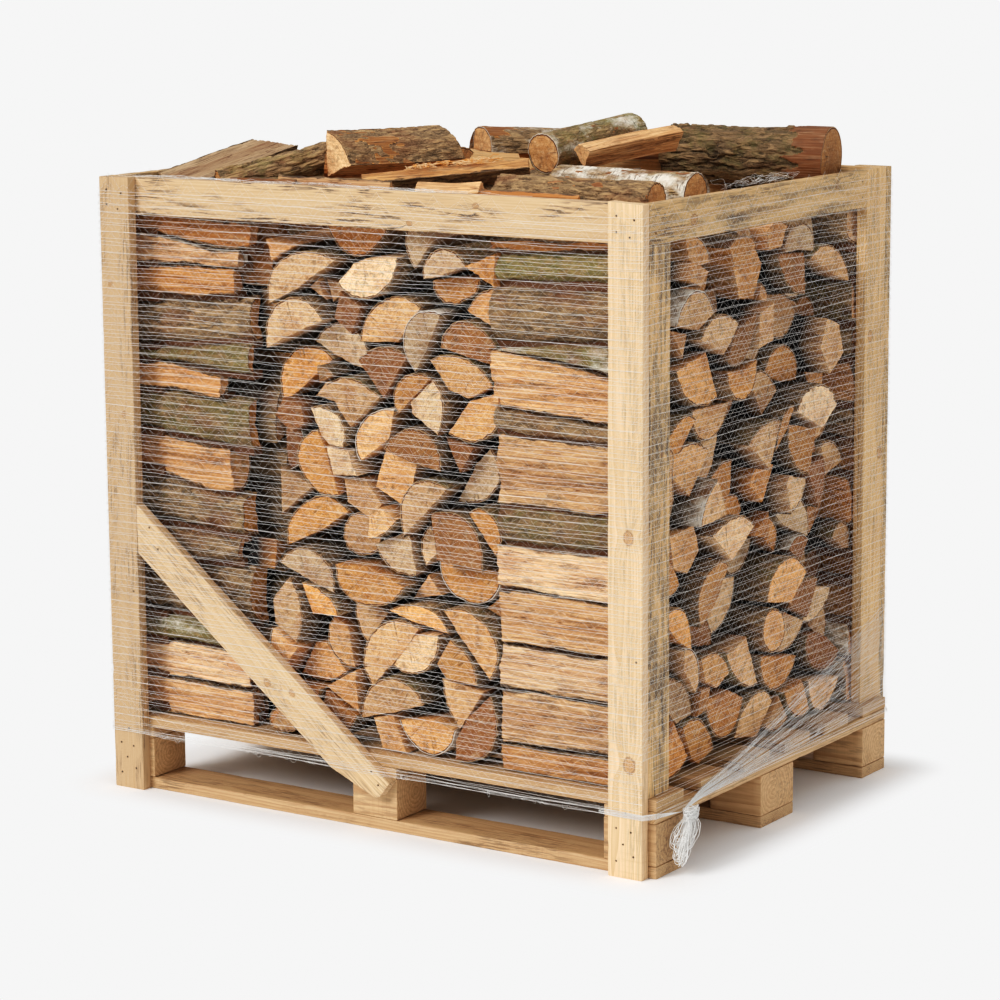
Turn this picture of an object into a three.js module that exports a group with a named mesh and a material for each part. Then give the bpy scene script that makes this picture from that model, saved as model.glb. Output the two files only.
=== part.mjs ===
// A crate of split birch firewood: a nailed slat frame on a softwood pallet, filled with
// stacked logs and wrapped in a knitted net.
// Millimetres. +X runs along the front, +Y from front to back, +Z up.
// The origin is on the floor, at the centre of the pallet's footprint.

import * as THREE from 'three';
import { mergeVertices } from 'three/addons/utils/BufferGeometryUtils.js';

// ---- driving dimensions ----

const GAP = 0.3;                  // clearance between pieces that touch
const BOARD = 22;                 // thickness of every sawn board
const SLAT = 71;                  // width of a frame slat

const FRAME_LENGTH = 1200;        // over the posts, along X
const FRAME_DEPTH = 936;          // over the posts' outer faces, along Y
const FRAME_HEIGHT = 1192;        // floor to the top of the rails
const REAR_SIDE_SLAT = 80;        // the rear upright of each side is a wider board
const POST_TOP_FALL = 4;          // the front right post is sawn off out of square

const PALLET_OVERHANG = 15;       // the pallet reaches past the frame on the right
const BLOCK_HEIGHT = 78;
const OUTER_RUNNER = 98;          // width of the front and rear rows of blocks
const MIDDLE_RUNNER = 128;        // width of the middle row
const BLOCK_LENGTHS = [80, 100, 108];
const DECK_BOARD = 98;
const DECK_COUNT = 6;

const BRACE_WIDTH = 74;
const BRACE_TOP = 566;            // height of its upper corner, against the post
const BRACE_LENGTH = 749;         // along its upper edge
const BRACE_ANGLE = 38.6;         // degrees below level
const BRACE_FOOT = 44;            // width left at the foot, where the lower corner is sawn off
const BRACE_TAPER = 112;          // length of that sawn edge, along the brace

const LEFT_STACK = 320;           // length of the logs in each side stack
const RIGHT_STACK = 306;
const STACK_CLEARANCE = 2;        // between the logs and the boards round them

const NET_OFFSET = 0.8;           // the net's inside, clear of the boards
const NET_WALL = 1.6;
const NET_SPREAD = 70;            // height over which it draws in from the pallet to the frame
const HEM_WALL = 9;               // the lower edge is gathered to a rope this thick
const HEM_BOTTOM = 111;
const HEM_HEIGHT = 11;
const TAIL_DROP = 104;            // knot and loose end, top to bottom
const TAIL_Y = -384;              // where they hang on the right side
const TAIL_FLATNESS = 0.5;        // thickness against width

// ---- places worked out from them ----

const PALLET_LENGTH = FRAME_LENGTH + PALLET_OVERHANG;
const LEFT = -PALLET_LENGTH / 2;
const RIGHT = LEFT + FRAME_LENGTH;
const PALLET_RIGHT = PALLET_LENGTH / 2;
const FRONT = -FRAME_DEPTH / 2;
const BACK = FRAME_DEPTH / 2;
const PALLET_FRONT = FRONT + BOARD + GAP;
const PALLET_BACK = -PALLET_FRONT;

const BLOCK_BOTTOM = BOARD + GAP;
const STRINGER_BOTTOM = BLOCK_BOTTOM + BLOCK_HEIGHT + GAP;
const DECK_BOTTOM = STRINGER_BOTTOM + BOARD + GAP;
const DECK_TOP = DECK_BOTTOM + BOARD;
const RAIL_BOTTOM = FRAME_HEIGHT - SLAT;
const REAR_SIDE_FRONT = PALLET_BACK - REAR_SIDE_SLAT;

// ---- finishes ----

function wood(color, roughness = 0.8) {
  return new THREE.MeshStandardMaterial({ color, roughness, metalness: 0 });
}

const FINISH = {
  freshSlat: wood('#ecd2a8'),
  slat: wood('#d3b083'),
  pallet: wood('#b98e5e', 0.85),
  splitFace: wood('#d6a063', 0.85),
  barkGrey: wood('#7a6a58', 0.95),
  barkMossy: wood('#6f6d4e', 0.95),
  barkBirch: wood('#c9c2b4', 0.85),
  net: wood('#eeeeec', 0.6),
};

// ---- ways of making a piece ----

const crate = new THREE.Group();

function add(name, geometry, material) {
  const mesh = new THREE.Mesh(geometry, material);
  mesh.name = name;
  crate.add(mesh);
  return mesh;
}

// A straight board between two limits on each axis.
function board(name, [x0, x1], [y0, y1], [z0, z1], material) {
  const mesh = add(name, new THREE.BoxGeometry(x1 - x0, y1 - y0, z1 - z0), material);
  mesh.position.set((x0 + x1) / 2, (y0 + y1) / 2, (z0 + z1) / 2);
}

function outline(points) {
  return new THREE.Shape(points.map(([x, y]) => new THREE.Vector2(x, y)));
}

// An upright outline in X and Z, given thickness towards -Y from the plane y = back.
function uprightPlate(name, points, back, thickness, material) {
  const geometry = new THREE.ExtrudeGeometry(outline(points), { depth: thickness, bevelEnabled: false });
  geometry.rotateX(Math.PI / 2);
  const mesh = add(name, geometry, material);
  mesh.position.y = back;
  return mesh;
}

// ---- pallet ----

const ROWS = [
  { name: 'front', y: [PALLET_FRONT, PALLET_FRONT + OUTER_RUNNER] },
  { name: 'middle', y: [-MIDDLE_RUNNER / 2, MIDDLE_RUNNER / 2] },
  { name: 'rear', y: [PALLET_BACK - OUTER_RUNNER, PALLET_BACK] },
];

const COLUMNS = [
  { name: 'left', x: [LEFT, LEFT + BLOCK_LENGTHS[0]] },
  { name: 'centre', x: [-BLOCK_LENGTHS[1] / 2, BLOCK_LENGTHS[1] / 2] },
  { name: 'right', x: [PALLET_RIGHT - BLOCK_LENGTHS[2], PALLET_RIGHT] },
];

function makePallet() {
  for (const row of ROWS) {
    board(`runner_${row.name}`, [LEFT, PALLET_RIGHT], row.y, [0, BOARD], FINISH.pallet);
    for (const column of COLUMNS) {
      const height = [BLOCK_BOTTOM, BLOCK_BOTTOM + BLOCK_HEIGHT];
      board(`block_${row.name}_${column.name}`, column.x, row.y, height, FINISH.pallet);
    }
  }
  for (const column of COLUMNS) {
    const height = [STRINGER_BOTTOM, STRINGER_BOTTOM + BOARD];
    board(`stringer_${column.name}`, column.x, [PALLET_FRONT, PALLET_BACK], height, FINISH.pallet);
  }
  const step = (PALLET_BACK - PALLET_FRONT - DECK_BOARD) / (DECK_COUNT - 1);
  for (let i = 0; i < DECK_COUNT; i++) {
    const front = PALLET_FRONT + i * step;
    board(`deck_board_${i + 1}`, [LEFT, PALLET_RIGHT], [front, front + DECK_BOARD],
      [DECK_BOTTOM, DECK_TOP], FINISH.pallet);
  }
}

// ---- slat frame ----

function makePosts() {
  const heights = { left: FRAME_HEIGHT, right: FRAME_HEIGHT + POST_TOP_FALL };
  for (const [end, x0] of [['left', LEFT], ['right', RIGHT - SLAT]]) {
    const x1 = x0 + SLAT;
    const corners = [[x0, 0], [x1, 0], [x1, FRAME_HEIGHT], [x0, heights[end]]];
    uprightPlate(`post_front_${end}`, corners, FRONT + BOARD, BOARD, FINISH.freshSlat);
    board(`post_rear_${end}`, [x0, x1], [BACK - BOARD, BACK], [0, FRAME_HEIGHT], FINISH.slat);
  }
}

// Each side has two uprights on the deck. The rail lies on the front one and butts the rear one.
function makeSides() {
  for (const [end, x] of [['left', [LEFT, LEFT + BOARD]], ['right', [RIGHT - BOARD, RIGHT]]]) {
    board(`side_upright_front_${end}`, x, [PALLET_FRONT, PALLET_FRONT + SLAT],
      [DECK_TOP + GAP, RAIL_BOTTOM - GAP], FINISH.slat);
    board(`side_upright_rear_${end}`, x, [REAR_SIDE_FRONT, PALLET_BACK],
      [DECK_TOP + GAP, FRAME_HEIGHT], FINISH.slat);
    board(`side_rail_${end}`, x, [PALLET_FRONT, REAR_SIDE_FRONT - GAP],
      [RAIL_BOTTOM, FRAME_HEIGHT], FINISH.slat);
  }
}

function makeCrossRails() {
  const x = [LEFT + BOARD + GAP, RIGHT - BOARD - GAP];
  const z = [RAIL_BOTTOM, FRAME_HEIGHT];
  board('rail_front', x, [PALLET_FRONT, PALLET_FRONT + BOARD], z, FINISH.freshSlat);
  board('rail_rear', x, [PALLET_BACK - BOARD, PALLET_BACK], z, FINISH.slat);
}

// The brace is cut plumb where it butts the left post and square at its foot.
function braceOutline() {
  const angle = THREE.MathUtils.degToRad(BRACE_ANGLE);
  const start = [LEFT + SLAT + GAP, BRACE_TOP];
  const at = (along, across) => [
    start[0] + along * Math.cos(angle) - across * Math.sin(angle),
    start[1] - along * Math.sin(angle) - across * Math.cos(angle),
  ];
  return [
    start,
    [start[0], BRACE_TOP - BRACE_WIDTH / Math.cos(angle)],
    at(BRACE_LENGTH - BRACE_TAPER, BRACE_WIDTH),
    at(BRACE_LENGTH, BRACE_FOOT),
    at(BRACE_LENGTH, 0),
  ];
}

function makeBraces() {
  uprightPlate('brace_front', braceOutline(), FRONT + BOARD, BOARD, FINISH.freshSlat);
  const mirrored = braceOutline().map(([x, z]) => [LEFT + RIGHT - x, z]);
  uprightPlate('brace_rear', mirrored, BACK, BOARD, FINISH.slat);
}

// ---- stacked logs ----

const STACK_LEFT = LEFT + BOARD + STACK_CLEARANCE;
const STACK_RIGHT = RIGHT - BOARD - STACK_CLEARANCE;
const STACK_FRONT = PALLET_FRONT + BOARD + STACK_CLEARANCE;
const STACK_BACK = -STACK_FRONT;
const STACK_BOTTOM = DECK_TOP + GAP;
const LEFT_STACK_END = STACK_LEFT + LEFT_STACK;
const RIGHT_STACK_START = STACK_RIGHT - RIGHT_STACK;

// Heights that the top logs of each stack reach, as [place across the logs, height].
const SIDE_STACK_LEFT_TOP = [[-422, 1124], [-330, 1126], [-150, 1146], [-20, 1158], [200, 1154], [422, 1150]];
const SIDE_STACK_RIGHT_TOP = [[-422, 1124], [-150, 1130], [60, 1136], [160, 1152], [422, 1158]];
const MIDDLE_FRONT_TOP = [[-262, 1126], [-200, 1128], [-90, 1134], [60, 1134], [150, 1128], [260, 1124]];
const MIDDLE_REAR_TOP = [[-262, 1156], [-180, 1178], [-60, 1188], [120, 1184], [200, 1154], [260, 1148]];

function stackOutline(top, start, end) {
  const heights = top.map(([place, height]) => [THREE.MathUtils.clamp(place, start, end), height]);
  return [[start, STACK_BOTTOM], [end, STACK_BOTTOM], ...heights.reverse()];
}

// A stack whose logs lie along X: its outline is in Y and Z.
function stackAlongX(name, [x0, x1], top) {
  const shape = outline(stackOutline(top, STACK_FRONT, STACK_BACK));
  const geometry = new THREE.ExtrudeGeometry(shape, { depth: x1 - x0, bevelEnabled: false });
  geometry.rotateX(Math.PI / 2);
  geometry.rotateZ(Math.PI / 2);
  add(name, geometry, FINISH.barkGrey).position.x = x0;
}

function makeStacks() {
  stackAlongX('logs_left', [STACK_LEFT, LEFT_STACK_END], SIDE_STACK_LEFT_TOP);
  stackAlongX('logs_right', [RIGHT_STACK_START, STACK_RIGHT], SIDE_STACK_RIGHT_TOP);
  const [x0, x1] = [LEFT_STACK_END + GAP, RIGHT_STACK_START - GAP];
  const depth = STACK_BACK - GAP / 2;
  const middle = [
    ['logs_middle_front', MIDDLE_FRONT_TOP, -GAP / 2],
    ['logs_middle_rear', MIDDLE_REAR_TOP, STACK_BACK],
  ];
  for (const [name, top, back] of middle) {
    uprightPlate(name, stackOutline(top, x0, x1), back, depth, FINISH.splitFace);
  }
}

// ---- loose logs on top ----

// A log is split from a round: a sector of it, with its pith on the local X axis.
// The middle of its bark faces up before it is rolled.
function logGeometry(radius, sweep, length) {
  const half = THREE.MathUtils.degToRad(sweep) / 2;
  const shape = new THREE.Shape();
  if (sweep < 360) {
    shape.moveTo(0, 0);
    shape.lineTo(radius * Math.sin(half), radius * Math.cos(half));
  }
  shape.absarc(0, 0, radius, Math.PI / 2 - half, Math.PI / 2 + half, false);
  const steps = Math.max(4, Math.round(sweep / 26));
  const settings = { depth: length, bevelEnabled: false, curveSegments: steps };
  const geometry = new THREE.ExtrudeGeometry(shape, settings);
  geometry.translate(0, 0, -length / 2);
  geometry.rotateX(Math.PI / 2);
  geometry.rotateZ(Math.PI / 2);
  return geometry;
}

// at: middle of the pith line. yaw: turn from +X towards +Y. climb: rise of the far end.
const TOP_LOGS = [
  { name: 'log_split_slab', finish: 'splitFace', r: 60, sweep: 180, length: 300,
    at: [-512, -190, 1211], yaw: 90, climb: 9, roll: 184 },
  { name: 'log_grey_left', finish: 'barkGrey', r: 37, sweep: 360, length: 240,
    at: [-342, -252, 1197], yaw: 52, climb: 12, roll: 0 },
  { name: 'log_mossy_low', finish: 'barkMossy', r: 32, sweep: 360, length: 120,
    at: [-276, -340, 1164], yaw: 22, climb: 0, roll: 0 },
  { name: 'log_wedge', finish: 'barkGrey', r: 96, sweep: 62, length: 285,
    at: [-176, -158, 1186], yaw: 76, climb: -1, roll: 40 },
  { name: 'log_long_splinter', finish: 'splitFace', r: 52, sweep: 60, length: 312,
    at: [24, -222, 1168], yaw: 34, climb: 5, roll: 16 },
  { name: 'log_offcut', finish: 'splitFace', r: 58, sweep: 96, length: 120,
    at: [96, -322, 1144], yaw: 24, climb: 0, roll: 0 },
  { name: 'log_half_birch', finish: 'barkBirch', r: 52, sweep: 180, length: 280,
    at: [26, 104, 1220], yaw: 62, climb: -4, roll: 0 },
  { name: 'log_birch_round', finish: 'barkBirch', r: 42, sweep: 360, length: 268,
    at: [166, 44, 1248], yaw: 82, climb: 5, roll: 0 },
  { name: 'log_orange_split', finish: 'splitFace', r: 54, sweep: 80, length: 205,
    at: [284, 6, 1222], yaw: 62, climb: 8, roll: 0 },
  { name: 'log_small_split', finish: 'splitFace', r: 36, sweep: 120, length: 170,
    at: [196, -28, 1158], yaw: 74, climb: 0, roll: 0 },
  { name: 'log_oak', finish: 'barkMossy', r: 62, sweep: 360, length: 332,
    at: [394, 262, 1220], yaw: 8, climb: 0, roll: 0 },
  { name: 'log_white_birch', finish: 'barkBirch', r: 46, sweep: 360, length: 306,
    at: [372, -150, 1180], yaw: -5, climb: 0, roll: 0 },
  { name: 'log_front', finish: 'barkGrey', r: 46, sweep: 360, length: 315,
    at: [352, -294, 1175], yaw: 4, climb: 0, roll: 0 },
  { name: 'log_rear_left', finish: 'barkMossy', r: 46, sweep: 180, length: 300,
    at: [-424, 110, 1160], yaw: 14, climb: 0, roll: 0 },
  { name: 'log_rear_corner', finish: 'splitFace', r: 58, sweep: 90, length: 310,
    at: [-420, 280, 1158], yaw: -8, climb: 0, roll: 0 },
  { name: 'log_rear_centre', finish: 'barkGrey', r: 52, sweep: 110, length: 300,
    at: [-5, 335, 1190], yaw: 22, climb: 0, roll: 0 },
  { name: 'log_rear_right', finish: 'barkGrey', r: 40, sweep: 360, length: 300,
    at: [340, 376, 1201], yaw: 2, climb: 0, roll: 0 },
];

function makeTopLogs() {
  for (const { name, r, sweep, length, at, yaw, climb, roll, finish } of TOP_LOGS) {
    const mesh = add(name, logGeometry(r, sweep, length), FINISH[finish]);
    const [rollAngle, climbAngle, yawAngle] = [roll, -climb, yaw].map(THREE.MathUtils.degToRad);
    mesh.position.set(...at);
    mesh.rotation.set(rollAngle, climbAngle, yawAngle, 'ZYX');
  }
}

// ---- net ----

// One level of the net: a rectangle grown outwards from the frame, rounded about its corners.
function netRing(z, grow, growRight) {
  const reach = { left: LEFT - grow, right: RIGHT + growRight, front: FRONT - grow, back: BACK + grow };
  const radius = grow;
  const corners = [
    [reach.right - radius, reach.back - radius],
    [reach.left + radius, reach.back - radius],
    [reach.left + radius, reach.front + radius],
    [reach.right - radius, reach.front + radius],
  ];
  const arcSteps = 3;
  const ring = [];
  corners.forEach(([x, y], quarter) => {
    for (let i = 0; i <= arcSteps; i++) {
      const angle = (quarter + i / arcSteps) * Math.PI / 2;
      ring.push([x + radius * Math.cos(angle), y + radius * Math.sin(angle), z]);
    }
  });
  return ring;
}

// A closed wall through a loop of rings: up the outside, over the edge and down the inside.
function ringWall(rings) {
  const count = rings[0].length;
  const index = [];
  rings.forEach((_, level) => {
    const above = (level + 1) % rings.length;
    for (let i = 0; i < count; i++) {
      const next = (i + 1) % count;
      const [a, b] = [level * count + i, level * count + next];
      const [c, d] = [above * count + next, above * count + i];
      index.push(a, b, c, a, c, d);
    }
  });
  const geometry = new THREE.BufferGeometry();
  geometry.setAttribute('position', new THREE.Float32BufferAttribute(rings.flat(2), 3));
  geometry.setIndex(index);
  return mergeVertices(geometry);
}

function makeSleeve() {
  const overFrame = NET_OFFSET;
  const overPallet = PALLET_OVERHANG + NET_OFFSET;
  const hemTop = HEM_BOTTOM + HEM_HEIGHT;
  const levels = [
    { z: HEM_BOTTOM, right: overPallet, wall: HEM_WALL },
    { z: hemTop, right: overPallet, wall: HEM_WALL },
    { z: hemTop + HEM_WALL, right: overPallet, wall: NET_WALL },
    { z: DECK_TOP + NET_WALL, right: overPallet, wall: NET_WALL },
    { z: DECK_TOP + NET_SPREAD, right: overFrame, wall: NET_WALL },
    { z: FRAME_HEIGHT - NET_WALL, right: overFrame, wall: NET_WALL },
  ];
  const outside = levels.map(({ z, right, wall }) => netRing(z, NET_OFFSET + wall, right + wall));
  const inside = levels.map(({ z, right }) => netRing(z, NET_OFFSET, right)).reverse();
  add('net_sleeve', ringWall([...outside, ...inside]), FINISH.net);
}

// The knot and the loose end below it are one bunch, flattened against the right side.
function makeTail() {
  const half = TAIL_DROP / 2;
  const profile = [
    [0, -half], [24, -half + 4], [37, -half + 28], [28, 6],
    [10, half - 24], [16, half - 11], [11, half], [0, half + 2],
  ];
  const geometry = new THREE.LatheGeometry(profile.map(([r, z]) => new THREE.Vector2(r, z)), 12);
  const tail = add('net_tail', geometry, FINISH.net);
  tail.rotation.x = Math.PI / 2;
  tail.scale.x = TAIL_FLATNESS;
  const out = NET_OFFSET + HEM_WALL + TAIL_FLATNESS * Math.max(...profile.map(([r]) => r)) + GAP;
  tail.position.set(PALLET_RIGHT + out, TAIL_Y, HEM_BOTTOM + HEM_HEIGHT - half);
}

makePallet();
makePosts();
makeSides();
makeCrossRails();
makeBraces();
makeStacks();
makeTopLogs();
makeSleeve();
makeTail();

export default crate;
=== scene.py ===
"""A slatted softwood crate on a block pallet, stacked with split birch firewood and wrapped in knitted net.

Laid out as a Blender add-on: the settings are property groups, and each group of pieces has its operator.
"""

import itertools
import math

import bpy
import numpy as np
from mathutils import Matrix, Vector


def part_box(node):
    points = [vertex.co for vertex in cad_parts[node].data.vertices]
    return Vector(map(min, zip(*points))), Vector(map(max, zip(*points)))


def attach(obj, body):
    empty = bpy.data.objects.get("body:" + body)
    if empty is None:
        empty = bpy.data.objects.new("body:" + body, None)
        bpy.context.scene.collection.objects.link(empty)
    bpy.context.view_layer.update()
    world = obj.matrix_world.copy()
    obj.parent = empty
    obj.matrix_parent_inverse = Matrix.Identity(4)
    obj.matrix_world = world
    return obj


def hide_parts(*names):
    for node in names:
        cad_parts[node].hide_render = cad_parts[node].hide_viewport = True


bl_info = {
    "name": "Netted crate of split firewood",
    "version": (1, 0, 0),
    "blender": (4, 5, 0),
    "location": "View3D > Sidebar > Firewood",
    "description": "Finishes a slatted crate of stacked firewood: boards, logs, nails, net and stage",
    "category": "Object",
}

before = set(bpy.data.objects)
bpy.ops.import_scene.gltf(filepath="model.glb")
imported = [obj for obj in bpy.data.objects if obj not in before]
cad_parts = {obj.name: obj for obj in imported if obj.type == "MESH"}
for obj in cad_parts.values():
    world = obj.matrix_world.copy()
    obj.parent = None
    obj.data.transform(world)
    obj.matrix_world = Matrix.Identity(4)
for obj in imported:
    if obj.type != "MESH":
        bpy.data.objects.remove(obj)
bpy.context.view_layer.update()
BODY = "root"
MM = 0.001
UP = np.array([0.0, 0.0, 1.0])


def corners(node):
    """Lowest and highest corner of a CAD node, as arrays in metres."""
    low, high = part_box(node)
    return np.array(low), np.array(high)


def tint(red, green, blue):
    """A screen colour as the linear colour that a shader takes."""
    shares = [c / 255 for c in (red, green, blue)]
    return tuple(((c + 0.055) / 1.055) ** 2.4 if c > 0.04 else c / 12.92 for c in shares)


def seeded(step=0):
    """Random numbers for one group of pieces."""
    return np.random.default_rng(bpy.context.scene.firewood_sizes.seed + step)


def linked(name, data):
    """A new object in the scene with its data."""
    made = bpy.data.objects.new(name, data)
    bpy.context.scene.collection.objects.link(made)
    return made


# ---- settings ----


def size_setting(name, description, size):
    return bpy.props.FloatProperty(name=name, description=description, default=size * MM, unit="LENGTH")


class FirewoodSizes(bpy.types.PropertyGroup):
    """Sizes that change the finish, and the seed of everything that varies"""

    seed: bpy.props.IntProperty(name="Seed", description="Changes the stacking and the wear", default=11)
    edge_round: size_setting("Board edge", "Rounding of the boards' edges", 1.6)
    log_gap: size_setting("Log gap", "Least gap left between stacked logs", 1.2)
    bark_rim: size_setting("Bark thickness", "Width of the bark on a log's end", 3.2)
    yarn: size_setting("Yarn", "Thickness of the net's long strands", 0.5)
    thread: size_setting("Thread", "Thickness of the net's zigzag threads", 0.3)
    course: size_setting("Course", "Height between two long strands", 13.2)
    stitch: size_setting("Stitch", "Length of one zigzag step", 21.0)


def colour_setting(name, description, shade):
    return bpy.props.FloatVectorProperty(
        name=name, description=description, default=shade, subtype="COLOR", min=0, max=1
    )


class FirewoodColours(bpy.types.PropertyGroup):
    """Colours of the wood, the bark and the net"""

    slat: colour_setting("Fresh slat", "Planed pale softwood", tint(236, 207, 170))
    slat_grain: colour_setting("Fresh slat grain", "Late wood of the fresh slats", tint(200, 160, 114))
    sawn: colour_setting("Sawn slat", "Sawn softwood", tint(234, 200, 150))
    sawn_grain: colour_setting("Sawn slat grain", "Late wood of the sawn slats", tint(182, 138, 88))
    pallet: colour_setting("Pallet", "Rough pallet wood", tint(226, 192, 148))
    pallet_grain: colour_setting("Pallet grain", "Late wood of the pallet", tint(164, 120, 80))
    straw: colour_setting("Pale split wood", "Freshest split faces", tint(243, 212, 170))
    orange: colour_setting("Orange split wood", "Most split faces", tint(230, 162, 84))
    russet: colour_setting("Red-brown split wood", "Oxidised split faces", tint(158, 96, 50))
    bark: colour_setting("Bark", "Grey-brown bark ridges", tint(166, 136, 100))
    # bark_deep: dark bark, laid in the furrows' bottoms partly as painted shade, and also used for dark marks
    # on bark.
    bark_deep: colour_setting("Bark furrows", "Bottom of the bark's furrows", tint(44, 33, 26))
    moss: colour_setting("Algae", "Green film on bark", tint(122, 120, 66))
    birch: colour_setting("Birch skin", "White birch bark", tint(222, 214, 200))
    cambium: colour_setting("Inner bark", "Rim between bark and wood", tint(120, 68, 38))
    yarn: colour_setting("Net yarn", "Knitted net", tint(232, 231, 228))


# ---- smooth noise in mesh code ----


def lattice(cell, seed):
    """A fixed number from 0 to 1 for each whole-number cell."""
    x, y, z = (cell[..., i].astype(np.int64).astype(np.uint32) for i in range(3))
    mixed = x * np.uint32(374761393) + y * np.uint32(668265263) + z * np.uint32(1274126177)
    mixed = mixed + np.uint32((seed * 974711 + 12345) & 0xFFFFFFFF)
    mixed = (mixed ^ (mixed >> np.uint32(13))) * np.uint32(1103515245)
    mixed = mixed ^ (mixed >> np.uint32(16))
    return (mixed & np.uint32(0xFFFFFF)) / float(0xFFFFFF)


def noise(points, scale, seed, octaves=1):
    """Value noise from 0 to 1 at points, with a scale for each direction."""
    total, weight, reach = 0.0, 1.0, 0.0
    place = np.asarray(points, float) * np.asarray(scale, float)
    for octave in range(octaves):
        cell = np.floor(place)
        t = place - cell
        t = t * t * (3 - 2 * t)
        value = 0.0
        for step in itertools.product((0, 1), repeat=3):
            share = np.prod(np.where(np.array(step) == 1, t, 1 - t), axis=-1)
            value = value + share * lattice(cell + step, seed + 17 * octave)
        total = total + weight * value
        reach += weight
        weight *= 0.5
        place = place * 2.03 + 11.7
    return total / reach


def furrows(points, scale, seed, octaves=2, width=0.1):
    """Cracks drawn along a noise's middle value: 1 in a crack and 0 on the plates between them."""
    away = np.abs(noise(points, scale, seed, octaves) - 0.5)
    return np.clip(1 - away / width, 0, 1)


# ---- meshes ----


class Piece:
    """Collects the faces of one piece, with the vectors that its materials read."""

    def __init__(self, *vectors):
        self.points, self.quads, self.triangles = [], [], []
        self.quad_kinds, self.triangle_kinds = [], []
        self.vectors = {name: [] for name in vectors}
        self.count = 0

    def add(self, points, quads, quad_kinds, triangles, triangle_kinds, **vectors):
        self.points.append(points)
        self.quads.append(np.asarray(quads, int).reshape(-1, 4) + self.count)
        self.triangles.append(np.asarray(triangles, int).reshape(-1, 3) + self.count)
        self.quad_kinds.append(quad_kinds)
        self.triangle_kinds.append(triangle_kinds)
        for name, values in vectors.items():
            self.vectors[name].append(np.broadcast_to(values, (len(points), 3)))
        self.count += len(points)

    def finish(self, name, materials, crease=50):
        """The piece as an object with smooth faces and sharp creases."""
        points = np.concatenate(self.points)
        quads, triangles = np.concatenate(self.quads), np.concatenate(self.triangles)
        kinds = np.concatenate(self.quad_kinds + self.triangle_kinds)
        mesh = bpy.data.meshes.new(name)
        mesh.vertices.add(len(points))
        mesh.vertices.foreach_set("co", points.astype(np.float32).ravel())
        mesh.loops.add(quads.size + triangles.size)
        mesh.loops.foreach_set("vertex_index", np.concatenate([quads.ravel(), triangles.ravel()]))
        mesh.polygons.add(len(quads) + len(triangles))
        sizes = np.concatenate([np.full(len(quads), 4), np.full(len(triangles), 3)])
        mesh.polygons.foreach_set("loop_start", np.concatenate([[0], np.cumsum(sizes)[:-1]]))
        mesh.polygons.foreach_set("material_index", kinds.astype(np.int32))
        mesh.update(calc_edges=True)
        mesh.validate()
        for label, values in self.vectors.items():
            attribute = mesh.attributes.new(label, "FLOAT_VECTOR", "POINT")
            attribute.data.foreach_set("vector", np.concatenate(values).astype(np.float32).ravel())
        for material in materials:
            mesh.materials.append(material)
        mesh.shade_smooth()
        mesh.set_sharp_from_angle(angle=math.radians(crease))
        return linked(name, mesh)


def settle(piece, slot, *nodes):
    """Rides a finished piece on the crate and hides the nodes that it stands for."""
    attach(piece, BODY)
    if nodes:
        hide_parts(*nodes)
    return piece


def loft(rings, inset, side_kinds, rim_kinds, end_kind):
    """Skins closed rings from end to end, with capped ends. inset: width of each end's rim, per ring point.

    Returns points, quads, their kinds, triangles and their kinds. The cap points come after the rings'.
    """
    stations, around = rings.shape[:2]
    j = np.arange(around)
    after = (j + 1) % around
    points = [rings.reshape(-1, 3)]
    quads, kinds, triangles = [], [], []
    for i in range(stations - 1):
        a, b = i * around, (i + 1) * around
        quads.append(np.stack([a + j, a + after, b + after, b + j], 1))
        kinds.append(side_kinds[i] if side_kinds.ndim == 2 else side_kinds)
    count = stations * around
    for i, turned in ((0, True), (stations - 1, False)):
        outer = rings[i]
        centre = outer.mean(0)
        reach = np.linalg.norm(outer - centre, axis=1)
        rim = outer + (centre - outer) * np.clip(inset / reach, 0, 0.45)[:, None]
        middle = centre + (rim - centre) * 0.5
        points += [rim, middle, centre[None]]
        steps = [i * around + j, count + j, count + around + j]
        for k, kind in ((0, rim_kinds), (1, np.full(around, end_kind))):
            a, b = steps[k], steps[k + 1]
            quad = np.stack([a, a[after], b[after], b], 1)
            quads.append(quad[:, ::-1] if turned else quad)
            kinds.append(kind)
        fan = np.stack([steps[2], steps[2][after], np.full(around, count + 2 * around)], 1)
        triangles.append(fan[:, ::-1] if turned else fan)
        count += 2 * around + 1
    triangles = np.concatenate(triangles)
    points, quads = np.concatenate(points), np.concatenate(quads)
    if volume_sign(rings) < 0:
        quads, triangles = quads[:, ::-1], triangles[:, ::-1]
    return points, quads, np.concatenate(kinds), triangles, np.full(len(triangles), end_kind)


def volume_sign(rings):
    """Positive where the rings turn anticlockwise about the way from the first to the last."""
    ring = rings[len(rings) // 2]
    spokes = ring - ring.mean(0)
    area = np.cross(spokes, np.roll(spokes, -1, 0)).sum(0)
    return float(area @ (rings[-1].mean(0) - rings[0].mean(0)))


# ---- node trees ----


class Wire:
    """An output socket of a graph. Sums, differences and products of wires add maths nodes."""

    def __init__(self, graph, socket):
        self.graph, self.socket = graph, socket

    def __add__(self, other):
        return self.graph.maths("ADD", self, other)

    def __sub__(self, other):
        return self.graph.maths("SUBTRACT", self, other)

    def __rsub__(self, other):
        return self.graph.maths("SUBTRACT", other, self)

    def __mul__(self, other):
        return self.graph.maths("MULTIPLY", self, other)

    def clamped(self):
        """Keeps the result of a sum or product from 0 to 1."""
        self.socket.node.use_clamp = True
        return self


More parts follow.
